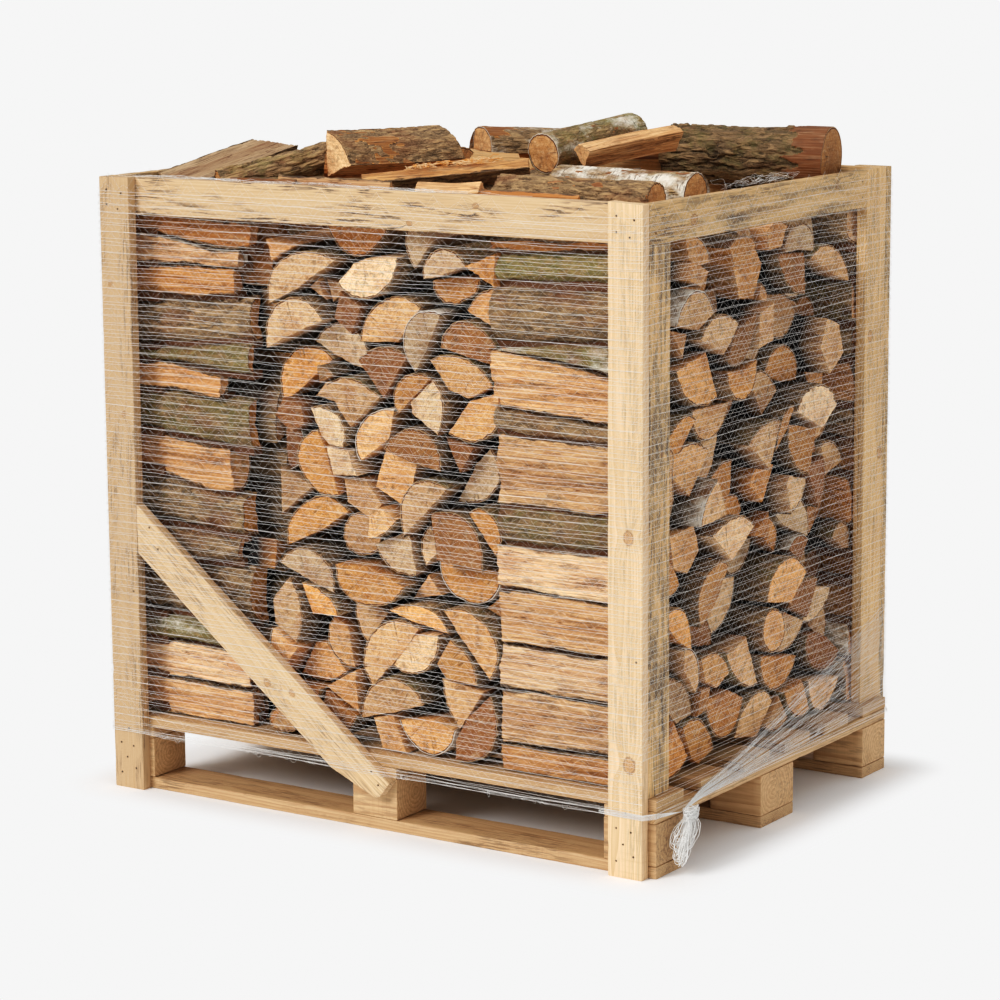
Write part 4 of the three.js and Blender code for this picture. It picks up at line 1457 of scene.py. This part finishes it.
class FIREWOOD_OT_litter(bpy.types.Operator):
    """Scatter splinters and torn fibres on the stacks"""

    bl_idname = "firewood.litter"
    bl_label = "Splinters"

    def execute(self, context):
        rng = seeded(60)
        rail = corners("rail_front")[1]
        ceiling = stack_ceiling("logs_middle_front", 0)
        piece = log_piece()
        # Place along the rail, distance behind it in mm, length, turn, thickness, height over the rail in mm.
        spots = [
            (-0.13, 44, 0.24, 0.1, 0.75, 13),
            (-0.29, 36, 0.17, -0.12, 0.6, 7),
            (0.3, 40, 0.2, 0.06, 0.6, 5),
        ]
        for _ in range(16):
            x = rng.uniform(-0.2, 0.18)
            lift = float(ceiling(x) - rail[2]) / MM + rng.uniform(6, 16)
            behind, length, yaw = rng.uniform(40, 300), rng.uniform(0.03, 0.1), rng.uniform(-0.7, 0.7)
            spots.append((x, behind, length, yaw, 0.26, lift))
        for number, (x, behind, length, yaw, scale, lift) in enumerate(spots):
            outline, bark = outline_of(random_section(rng, small=True), 8 * MM)
            outline = outline * scale
            along = np.array([math.cos(yaw), math.sin(yaw), 0])
            basis = np.stack([np.cross(UP, along), UP, along])
            top = rail[2] + lift * MM - outline[:, 1].max()
            origin = np.array([x, rail[1] + behind * MM, top]) - along * length / 2
            add_log(piece, outline, bark, np.zeros(2), basis, origin, length, random_look(rng), 700 + number,
                    stations=16, rough=0.5, taper=0.3)
        settle(piece.finish("splinters", finish_of().log), "split_wood")
        ring, _, _, basis, start, length = log_frame("log_long_splinter")
        crest = ring[np.argmax(ring @ basis[:2, 2])] @ basis[:2]
        lines = []
        for _ in range(70):
            start_at = crest + basis[2] * (start + rng.uniform(0.25, 0.75) * length)
            start_at = start_at + np.array([0, rng.uniform(-14, 4), rng.uniform(0, 6)]) * MM
            run = np.linspace(0, rng.uniform(0.015, 0.05), 9)
            swing = rng.uniform(-0.7, 0.7)
            line = start_at + np.stack([run, swing * run, rng.uniform(0.0, 0.25) * run], 1)
            stir = stirred(line, (60, 60, 60), rng)
            line[:, 1] += stir * 14 * MM
            line[:, 2] += np.roll(stir, 3) * 12 * MM
            lines.append(line)
        settle(strands("torn_fibres", lines, 0.6 * MM, finish_of().torn), "split_wood")
        return {"FINISHED"}


# ---- geometry node trees ----


def geometry_group(name, *inputs):
    """A Geometry Nodes tree that takes a geometry, named values and a material."""
    sockets = [("Geometry", "Geometry"), *inputs, ("Material", "Material")]
    g, given = new_group(name, "GeometryNodeTree", sockets, [("Geometry", "Geometry")])
    g.tree.is_modifier = True
    return g, given


def tube(g, line, radius, sides):
    """Skins a curve with a thin tube of so many sides."""
    profile = g.add("GeometryNodeCurvePrimitiveCircle", {"Resolution": sides, "Radius": radius}, "Curve")
    inputs = {"Curve": line, "Profile Curve": profile, "Fill Caps": True}
    return g.add("GeometryNodeCurveToMesh", inputs, "Mesh")


def finish_tree(g, geometry, given):
    """Makes instances real and gives the result its material."""
    real = g.add("GeometryNodeRealizeInstances", {"Geometry": geometry}, "Geometry")
    inputs = {"Geometry": real, "Material": given["Material"]}
    return g.close(Geometry=g.add("GeometryNodeSetMaterial", inputs, "Geometry"))


def net_tree():
    """Courses of yarn one above the other along a path, with zigzag threads between them."""
    floats = ("Course Height", "Yarn", "Thread", "Stitch", "Wander", "Reach")
    defaults = (13 * MM, 1 * MM, 0.5 * MM, 10 * MM, 4 * MM, 1.0)
    sockets = [(name, "Float", value) for name, value in zip(floats, defaults)]
    sockets += [("Courses", "Int", 10), ("Shift", "Vector"), ("Outward", "Vector")]
    g, given = geometry_group("Net courses", *sockets)
    steps = {"Count": given["Courses"], "Offset": g.join(Z=given["Course Height"])}
    levels = g.add("GeometryNodeMeshLine", steps, "Mesh")
    both = g.tree.nodes.new("GeometryNodeJoinGeometry")
    for length, is_thread in ((0.04, False), (given["Stitch"], True)):
        spaced = {"Curve": given["Geometry"], "Length": length}
        line = g.add("GeometryNodeResampleCurve", spaced, "Curve", mode="LENGTH")
        copies = g.add("GeometryNodeInstanceOnPoints", {"Points": levels, "Instance": line}, "Instances")
        lines = g.add("GeometryNodeRealizeInstances", {"Geometry": copies}, "Geometry")
        place = g.vector("ADD", g.add("GeometryNodeInputPosition"), given["Shift"])
        slow, quick = (g.cloud(place, scale, 2.0, 0.5) for scale in ((2.2, 2.2, 9), (16, 16, 60)))
        rise = (slow - 0.5 + (quick - 0.5) * 0.3) * given["Wander"]
        if is_thread:
            odd = g.maths("MODULO", g.add("GeometryNodeSplineParameter", output="Index"), 2.0)
            rise = rise + odd * (given["Course Height"] * given["Reach"])
        offset = g.vector("ADD", g.join(Z=rise), g.scaled(given["Outward"], quick * (1.2 * MM)))
        waved = g.add("GeometryNodeSetPosition", {"Geometry": lines, "Offset": offset}, "Geometry")
        radius, sides = (given["Thread"], 3) if is_thread else (given["Yarn"], 4)
        g.feed(both.inputs[0], tube(g, waved, radius, sides))
    return finish_tree(g, Wire(g, both.outputs[0]), given)


def strand_tree():
    """Skins loose lines with thin tubes."""
    g, given = geometry_group("Strands", ("Yarn", "Float", 0.001))
    line = g.add("GeometryNodeMeshToCurve", {"Mesh": given["Geometry"]}, "Curve")
    return finish_tree(g, tube(g, line, given["Yarn"], 4), given)


def nail_tree():
    """Sets a slightly domed nail head on each point, facing along its normal."""
    g, given = geometry_group("Nail heads", ("Radius", "Float", 0.003))
    sizes = {"Vertices": 10, "Radius Top": 0.8, "Radius Bottom": 1.0, "Depth": 0.35}
    head = g.add("GeometryNodeMeshCone", sizes, "Mesh")
    facing = g.add("GeometryNodeInputNormal", output="Normal")
    aligned = g.add("FunctionNodeAlignRotationToVector", {"Vector": facing}, "Rotation", axis="Z")
    size = g.join(X=given["Radius"], Y=given["Radius"], Z=given["Radius"])
    inputs = {"Points": given["Geometry"], "Instance": head, "Rotation": aligned, "Scale": size}
    return finish_tree(g, g.add("GeometryNodeInstanceOnPoints", inputs, "Instances"), given)


def grown(source, tree, name, **inputs):
    """Runs a node tree on a source object and returns the result as a plain mesh object."""
    modifier = source.modifiers.new("Grow", "NODES")
    modifier.node_group = tree
    for item in tree.interface.items_tree:
        key = item.name.replace(" ", "_").lower()
        if item.item_type == "SOCKET" and item.in_out == "INPUT" and key in inputs:
            modifier[item.identifier] = inputs[key]
    bpy.context.view_layer.update()
    evaluated = source.evaluated_get(bpy.context.evaluated_depsgraph_get())
    mesh = bpy.data.meshes.new_from_object(evaluated)
    source.modifiers.remove(modifier)
    bpy.data.objects.remove(source)
    mesh.name = name
    return linked(name, mesh)


def strands(name, lines, yarn, finish):
    """Loose polylines as one piece of thin tubes."""
    mesh = bpy.data.meshes.new("Lines")
    edges, first = [], 0
    for line in lines:
        edges += [(first + k, first + k + 1) for k in range(len(line) - 1)]
        first += len(line)
    mesh.from_pydata([tuple(p) for line in lines for p in line], edges, [])
    return grown(linked("Lines", mesh), strand_tree(), name, yarn=yarn, material=finish)


def path_object(points):
    """One open polyline curve."""
    curve = bpy.data.curves.new("Path", "CURVE")
    curve.dimensions = "3D"
    spline = curve.splines.new("POLY")
    spline.points.add(len(points) - 1)
    for target, p in zip(spline.points, points):
        target.co = (*p, 1)
    return linked("Path", curve)


def stirred(line, scale, rng, octaves=2, most=9999):
    """A slow random swing along a line, from -0.5 to 0.5."""
    return noise(line, scale, int(rng.integers(1, most)), octaves) - 0.5


# ---- nails ----


def nail_points():
    """Where nails are driven, with the way that each head faces."""
    spots = []
    front = np.array([0.0, -1.0, 0.0])
    for name in ("post_front_left", "post_front_right", "post_rear_left", "post_rear_right"):
        low, high = corners(name)
        face = front if "front" in name else -front
        y = low[1] if "front" in name else high[1]
        middle = (low[0] + high[0]) / 2
        inner = 0.25 * (high[0] - low[0])
        for x, z in ((-1, -24), (-1, -52), (0.5, -60), (1, -30)):
            spots.append(([middle + x * inner, y, high[2] + z * MM], face))
        for x, z in ((-1, 90), (0.7, 86), (-0.2, 62), (1, 42), (-1, 30), (0.1, 120)):
            spots.append(([middle + x * inner, y, z * MM], face))
        spots.append(([middle + 1.3 * inner, y, 0.395], face))
    low, high = corners("brace_front")
    for dx, dz in ((0.545, 0.052), (0.56, 0.028), (0.03, 0.46), (0.05, 0.42)):
        spots.append(([low[0] + dx, low[1], low[2] + dz], front))
    for name, sign in (("side_rail_left", -1), ("side_rail_right", 1)):
        low, high = corners(name)
        x = low[0] if sign < 0 else high[0]
        for y in (low[1] + 0.02, low[1] + 0.05, high[1] - 0.02):
            for z in (0.02, 0.05):
                spots.append(([x, y, low[2] + z], np.array([float(sign), 0, 0])))
    return spots


class FIREWOOD_OT_nails(bpy.types.Operator):
    """Drive the nails of the frame"""

    bl_idname = "firewood.nails"
    bl_label = "Nails"

    def execute(self, context):
        spots = nail_points()
        mesh = bpy.data.meshes.new("Nail spots")
        corners_of, faces = [], []
        for place, facing in spots:
            facing = np.asarray(facing, float)
            side = np.cross(facing, UP)
            over = np.cross(facing, side)
            centre = np.array(place) + facing * 0.1 * MM
            first = len(corners_of)
            corners_of += [tuple(centre + 0.01 * MM * v) for v in (-side - over, side - over, over)]
            a, b, c = (np.array(p) for p in corners_of[-3:])
            turned = np.dot(np.cross(b - a, c - a), facing) > 0
            faces.append((first, first + 1, first + 2) if turned else (first + 2, first + 1, first))
        mesh.from_pydata(corners_of, [], faces)
        source = linked("Nail spots", mesh)
        settle(grown(source, nail_tree(), "nails", radius=1.9 * MM, material=finish_of().steel), "slat_fresh")
        return {"FINISHED"}


# ---- net ----


class NetShape:
    """Where the net runs: round the posts, and down to the hem under the deck's edge."""

    def __init__(self):
        low, high = corners("net_sleeve")
        posts_low, posts_high = corners("post_front_left")[0], corners("post_rear_right")[1]
        side_high = corners("side_rail_right")[1]
        self.left, self.front = posts_low[0] - 1.4 * MM, posts_low[1] - 1.4 * MM
        self.right, self.back = side_high[0] + 1.4 * MM, posts_high[1] + 1.4 * MM
        self.bottom, self.top = low[2], high[2]
        self.overhang = corners("block_front_right")[1][0] + 1.6 * MM
        self.deck_top = corners("deck_board_1")[1][2]
        self.post_right = corners("post_front_right")[1][0] + 1.4 * MM
        self.pallet_front = corners("block_front_right")[0][1] - 1.4 * MM
        self.pallet_back = corners("block_rear_right")[1][1] + 1.4 * MM

    def right_at(self, z):
        """How far right the net hangs at a height: out over the pallet's edge, then in to the frame."""
        return np.interp(z, [self.deck_top, self.deck_top + 70 * MM], [self.overhang, self.right])


class FIREWOOD_OT_net(bpy.types.Operator):
    """Wrap the crate in its knitted net"""

    bl_idname = "firewood.net"
    bl_label = "Net"

    def execute(self, context):
        sizes, s, yarn = context.scene.firewood_sizes, NetShape(), finish_of().yarn
        sides = {
            "front": ([s.left, s.front], [s.right, s.front], (0, -1, 0)),
            "right": ([s.right, s.front], [s.right, s.back], (1, 0, 0)),
            "rear": ([s.right, s.back], [s.left, s.back], (0, 1, 0)),
            "left": ([s.left, s.back], [s.left, s.front], (-1, 0, 0)),
        }
        courses_tree = net_tree()
        for side, (start, end, outward) in sides.items():
            for layer, (spacing, shift, foot) in enumerate(((1.0, 0.0, 0.0), (1.32, 3.7, 5.0))):
                pitch = sizes.course * spacing
                base = s.bottom + 0.012 + foot * MM
                if side == "right":
                    base = s.deck_top + 75 * MM
                count = int((s.top - base - 6 * MM) / pitch)
                slope = (-1) ** layer * 0.004
                points = [(*start, base), (*end, base + slope)]
                stitch = sizes.stitch * (1 + 0.45 * layer)
                made = grown(
                    path_object(points), courses_tree, f"net_{side}_{layer + 1}", courses=count,
                    course_height=pitch, yarn=sizes.yarn / 2, thread=sizes.thread / 2, stitch=stitch,
                    reach=1.0 + 1.3 * layer, wander=(14 + 12 * layer) * MM, shift=(shift,) * 3,
                    outward=outward, material=yarn,
                )
                settle(made, "net_yarn", "net_sleeve")
        for step, (name, lines, thickness) in enumerate(
            (("net_hem", self.hem, 0.2), ("net_web", self.web, 0.24), ("net_scraps", self.scraps, 0.17))
        ):
            drawn = lines(s, seeded(40 + step))
            settle(strands(name, drawn, thickness * MM, yarn), "net_yarn", "net_sleeve")
        return {"FINISHED"}

    def hem(self, s, rng):
        """The bottom of the net: a loose band of strands round the pallet, with a few hanging curls."""
        corners_of = [(s.left, s.front), (s.post_right, s.front), (s.overhang, s.pallet_front)]
        corners_of += [(s.overhang, s.pallet_back), (s.post_right, s.back), (s.left, s.back)]
        lines = []
        for _ in range(7):
            height = s.bottom + rng.uniform(1.0, 9.5) * MM
            out = rng.uniform(0, 1.6) * MM
            line = []
            for a, b in zip(corners_of, corners_of[1:] + corners_of[:1]):
                a, b = np.array(a), np.array(b)
                for t in np.linspace(0, 1, 24, endpoint=False):
                    x, y = a + (b - a) * t
                    push = np.sign([x, y]) * out * (np.abs([x, y]) > [0.55, 0.44])
                    line.append([x + push[0], y + push[1], height])
            line.append(line[0])
            line = np.array(line)
            line[:, 2] += stirred(line, (9, 9, 60), rng, most=999) * 9 * MM
            line[:, 2] = np.clip(line[:, 2], s.bottom + 0.6 * MM, s.bottom + 11 * MM)
            lines.append(line)
        for _ in range(60):
            x, low = rng.uniform(s.left + 0.04, 0.45), rng.uniform(2, 11) * MM
            width = rng.uniform(2, 9) * MM
            turned = np.linspace(-0.3, math.pi + 0.3, 9)
            lines.append(np.stack([x + width * np.cos(turned), np.full(9, s.front + rng.uniform(0, 4) * MM),
                                   s.bottom + 6 * MM - low * np.sin(turned)], 1))
        return lines

    def web(self, s, rng):
        """Strands that fan from the knot, low on the right, up to the rear right post."""
        low, high = corners("net_tail")
        knot = np.array([low[0] + 6 * MM, (low[1] + high[1]) / 2, high[2] - 12 * MM])
        lines, fan, count = [], 64, 34
        for k in range(fan):
            t = (k + rng.uniform(-0.4, 0.4)) / (fan - 1)
            far_z = s.bottom + 22 * MM + 0.2 * np.clip(t, 0, 1) ** 1.1
            steps = np.linspace(0, 1, count)[:, None]
            y = np.interp(far_z, [s.deck_top, s.deck_top + 70 * MM], [s.pallet_back, s.back])
            end = np.array([0, y, far_z])
            line = knot * (1 - steps) + end * steps
            spread = rng.uniform(-1, 1) * 4 * MM
            line[:, 2] += np.sin(np.pi * steps[:, 0]) * (spread - 0.014 * t)
            line[:, 2] = np.maximum(line[:, 2], s.bottom + 1 * MM)
            hug = s.right_at(line[:, 2]) + rng.uniform(0, 2.2) * MM
            near = np.clip(steps[:, 0] * 9, 0, 1)
            line[:, 0] = knot[0] * (1 - near) + hug * near
            line[:, 0] = np.maximum(line[:, 0], s.right_at(line[:, 2]))
            lines.append(line)
        # Short ties between neighbours in the fan.
        for _ in range(150):
            a = int(rng.integers(0, fan - 6))
            i = int(rng.integers(4, count - 3))
            other = lines[a + int(rng.integers(2, 6))]
            lines.append(np.array([lines[a][i], other[min(i + int(rng.integers(1, 3)), count - 1)]]))
        # The bunched strands from the knot round the front right post.
        for k in range(12):
            z = s.bottom + (1 + 0.8 * k) * MM
            run = [knot, (s.overhang, s.pallet_front, z), (s.post_right, s.front, z)]
            lines.append(np.array([*run, (s.post_right - 0.09, s.front, z + rng.uniform(-1, 1) * MM)]))
        # The courses below the frame, which lean out over the pallet's edge.
        for k in range(11):
            z = s.deck_top + (k - 1.5) * 7.6 * MM
            y = np.linspace(s.pallet_front, s.pallet_back, 30)
            line = np.stack([np.full(30, 0.0), y, np.full(30, z)], 1)
            line[:, 2] += (noise(line, (3, 3, 90), 7 + k, 2) - 0.5) * 9 * MM
            line[:, 0] = s.right_at(line[:, 2]) + 0.4 * MM
            lines.append(line)
        return lines

    def scraps(self, s, rng):
        """Loose net lying on the rails' tops, bunched up near the right rail's middle."""
        lines = []
        for _ in range(34):
            start, run = rng.uniform(s.left + 0.02, 0.1), rng.uniform(0.05, 0.3)
            x = np.linspace(start, min(start + run, 0.5), 26)
            y = s.front + rng.uniform(4, 40) * MM
            line = np.stack([x, np.full(26, y), np.full(26, s.top + 3 * MM)], 1)
            stir = stirred(line, (26, 60, 60), rng)
            line[:, 1] += stir * 16 * MM
            line[:, 2] += (np.roll(stir, 5) + 0.5) ** 2 * 9 * MM
            lines.append(line)
        for _ in range(30):
            centre = np.array([s.right - rng.uniform(6, 40) * MM, rng.uniform(-0.16, 0.1), s.top + 6 * MM])
            reach = rng.uniform(6, 24) * MM * np.array([0.6, 1.3, 0.5])
            a = np.linspace(0, rng.uniform(3, 7), 26)
            phase = rng.uniform(0, 6.28, 2)
            ring = np.stack([np.cos(a + phase[0]), np.sin(a), 0.6 + 0.6 * np.sin(1.3 * a + phase[1])], 1)
            line = centre + ring * reach
            line += stirred(line, (70, 70, 70), rng)[:, None] * 12 * MM
            line[:, 2] = np.maximum(line[:, 2], s.top + 2.4 * MM)
            lines.append(line)
        return lines


class FIREWOOD_OT_tail(bpy.types.Operator):
    """Knot the net's loose end and let it hang"""

    bl_idname = "firewood.tail"
    bl_label = "Net tail"

    def execute(self, context):
        rng = seeded(50)
        low, high = corners("net_tail")
        middle = (low + high) / 2
        knot = np.array([middle[0], middle[1] + 12 * MM, high[2] - 16 * MM])
        lines = []
        for _ in range(44):
            drop = rng.uniform(0.3, 1.0) ** 0.7 * (knot[2] - low[2] - 1 * MM)
            wide = rng.uniform(10, 34) * MM
            facing = rng.uniform(-0.9, 0.9)
            a = np.linspace(0, 2 * math.pi, 40)
            down = (1 - np.cos(a)) / 2
            across = np.sin(a) * wide * (0.5 + 0.5 * down) + rng.uniform(-5, 5) * MM * down
            line = np.stack([knot[0] + across * math.sin(facing) + rng.uniform(-9, 9) * MM * down,
                             knot[1] - 36 * MM * down**1.2 + across * math.cos(facing),
                             knot[2] - drop * down], 1)
            sway = [stirred(line, (fine, fine, fine), rng, 3) for fine in (46, 52)]
            line[:, 0] += sway[0] * 18 * MM * down
            line[:, 1] += sway[1] * 34 * MM * down
            lines.append(line)
        for _ in range(56):
            radius = rng.uniform(6, 17) * MM
            tilt = rng.uniform(-1.0, 1.0, 2)
            a = np.linspace(0, 2 * math.pi * 1.3, 26)
            ring = np.stack([np.cos(a) * 0.6, np.sin(a), tilt[0] * np.cos(a) + tilt[1] * np.sin(a)], 1)
            line = knot + ring * radius * np.array([1, 1.2, 0.8])
            line += stirred(line, (90, 90, 90), rng)[:, None] * 6 * MM
            lines.append(line)
        margin = 0.8 * MM
        lines = [np.clip(line, low + margin, high - margin) for line in lines]
        made = strands("net_tail_strands", lines, 0.56 * MM, finish_of().yarn)
        settle(made, "net_yarn", "net_tail")
        return {"FINISHED"}


# ---- stage ----


class FIREWOOD_OT_stage(bpy.types.Operator):
    """Lay the floor, light it softly and set up the camera"""

    bl_idname = "firewood.stage"
    bl_label = "Stage"

    def execute(self, context):
        self.floor()
        self.lights(context.scene)
        self.camera(context.scene)
        view = context.scene.view_settings
        view.view_transform = "Standard"
        view.use_curve_mapping = True
        curve = view.curve_mapping.curves[3]
        for before, after in ((0.03, 0.014), (0.1, 0.07), (0.3, 0.3), (0.6, 0.64), (0.921, 0.921)):
            curve.points.new(before, after)
        view.curve_mapping.update()
        return {"FINISHED"}

    def floor(self):
        """A wide pale floor that glows evenly, except close to the crate, where it takes shadows."""
        pale, shown, reach = 0.93, 0.921, 0.14
        mesh = bpy.data.meshes.new("floor")
        far = [(x * 400, y * 400, 0) for x, y in ((-1, -1), (1, -1), (1, 1), (-1, 1))]
        mesh.from_pydata(far, [], [(0, 1, 2, 3)])
        made, g, shader = material("Floor", 0.9)
        mesh.materials.append(made)
        shader["Specular IOR Level"].default_value = 0.0
        shader["Emission Color"].default_value = (shown, shown, shown, 1)
        edge = np.abs([corners("runner_front")[0], corners("runner_rear")[1]]).max(0)
        past = g.vector("SUBTRACT", g.vector("ABSOLUTE", g.here()), (edge[0], edge[1], 0))
        past = g.vector("LENGTH", g.vector("MAXIMUM", past))
        inputs = {"Value": past, "From Min": 0.0, "From Max": reach}
        away = g.add("ShaderNodeMapRange", inputs, "Result", interpolation_type="SMOOTHERSTEP")
        g.feed(shader["Emission Strength"], away)
        g.feed(shader["Base Color"], (1.0 - away) * pale)
        linked("floor", mesh)

    def lights(self, scene):
        """A soft sky that is brighter overhead, with a key sun and a faint fill."""
        scene.world = bpy.data.worlds.new("Studio")
        scene.world.use_nodes = True
        g = Graph(scene.world.node_tree)
        sky = g.tree.nodes["Background"].inputs
        height = g.axes(g.add("ShaderNodeTexCoord", output="Generated"))["Z"]
        g.feed(sky["Color"], g.span(height, 0.0, 0.75, 0.3, 1.0))
        sky["Strength"].default_value = 0.74
        suns = (("Key", 1.9, 24, (0.32, 0.86, -0.62)), ("Fill", 0.32, 50, (-0.88, 0.34, -0.34)))
        for name, strength, width, facing in suns:
            sun = bpy.data.lights.new(name, "SUN")
            sun.energy, sun.angle = strength, math.radians(width)
            linked(name, sun).rotation_euler = Vector(facing).to_track_quat("-Z", "Y").to_euler()

    def camera(self, scene):
        """A long lens from the front right, a little above the crate."""
        lens = bpy.data.cameras.new("Camera")
        lens.lens, lens.sensor_width, lens.clip_end = 117.85, 36.0, 200
        yaw, pitch, roll = -0.5822, 0.1832, -0.0063
        ahead = Vector((math.sin(yaw) * math.cos(pitch), math.cos(yaw) * math.cos(pitch), -math.sin(pitch)))
        side = ahead.cross(Vector((0, 0, 1))).normalized()
        over = side.cross(ahead)
        right = side * math.cos(roll) + over * math.sin(roll)
        top = over * math.cos(roll) - side * math.sin(roll)
        turned = Matrix((right, top, -ahead)).transposed().to_4x4()
        scene.camera = linked("Camera", lens)
        scene.camera.matrix_world = Matrix.Translation((3.4382, -5.2379, 1.7138)) @ turned


class FIREWOOD_PT_panel(bpy.types.Panel):
    """Lists the settings and the steps of the crate"""

    bl_idname = "FIREWOOD_PT_panel"
    bl_label = "Firewood crate"
    bl_space_type = "VIEW_3D"
    bl_region_type = "UI"
    bl_category = "Firewood"

    def draw(self, context):
        for settings in (context.scene.firewood_sizes, context.scene.firewood_colours):
            for name in settings.bl_rna.properties.keys():
                if name not in ("rna_type", "name"):
                    self.layout.prop(settings, name)
        for operator in OPERATORS:
            self.layout.operator(operator.bl_idname)


OPERATORS = (
    FIREWOOD_OT_stage,
    FIREWOOD_OT_frame,
    FIREWOOD_OT_pallet,
    FIREWOOD_OT_side_stacks,
    FIREWOOD_OT_middle_stacks,
    FIREWOOD_OT_top_logs,
    FIREWOOD_OT_litter,
    FIREWOOD_OT_nails,
    FIREWOOD_OT_net,
    FIREWOOD_OT_tail,
)
CLASSES = (FirewoodSizes, FirewoodColours, *OPERATORS, FIREWOOD_PT_panel)


def register():
    for made in CLASSES:
        bpy.utils.register_class(made)
    bpy.types.Scene.firewood_sizes = bpy.props.PointerProperty(type=FirewoodSizes)
    bpy.types.Scene.firewood_colours = bpy.props.PointerProperty(type=FirewoodColours)


def unregister():
    del bpy.types.Scene.firewood_sizes
    del bpy.types.Scene.firewood_colours
    for made in reversed(CLASSES):
        bpy.utils.unregister_class(made)


def main():
    """Builds the whole crate."""
    register()
    bpy.ops.firewood.stage()
    bpy.ops.firewood.frame()
    bpy.ops.firewood.pallet()
    bpy.ops.firewood.side_stacks()
    bpy.ops.firewood.middle_stacks()
    bpy.ops.firewood.top_logs()
    bpy.ops.firewood.litter()
    bpy.ops.firewood.nails()
    bpy.ops.firewood.net()
    bpy.ops.firewood.tail()


if __name__ == "__main__":
    main()
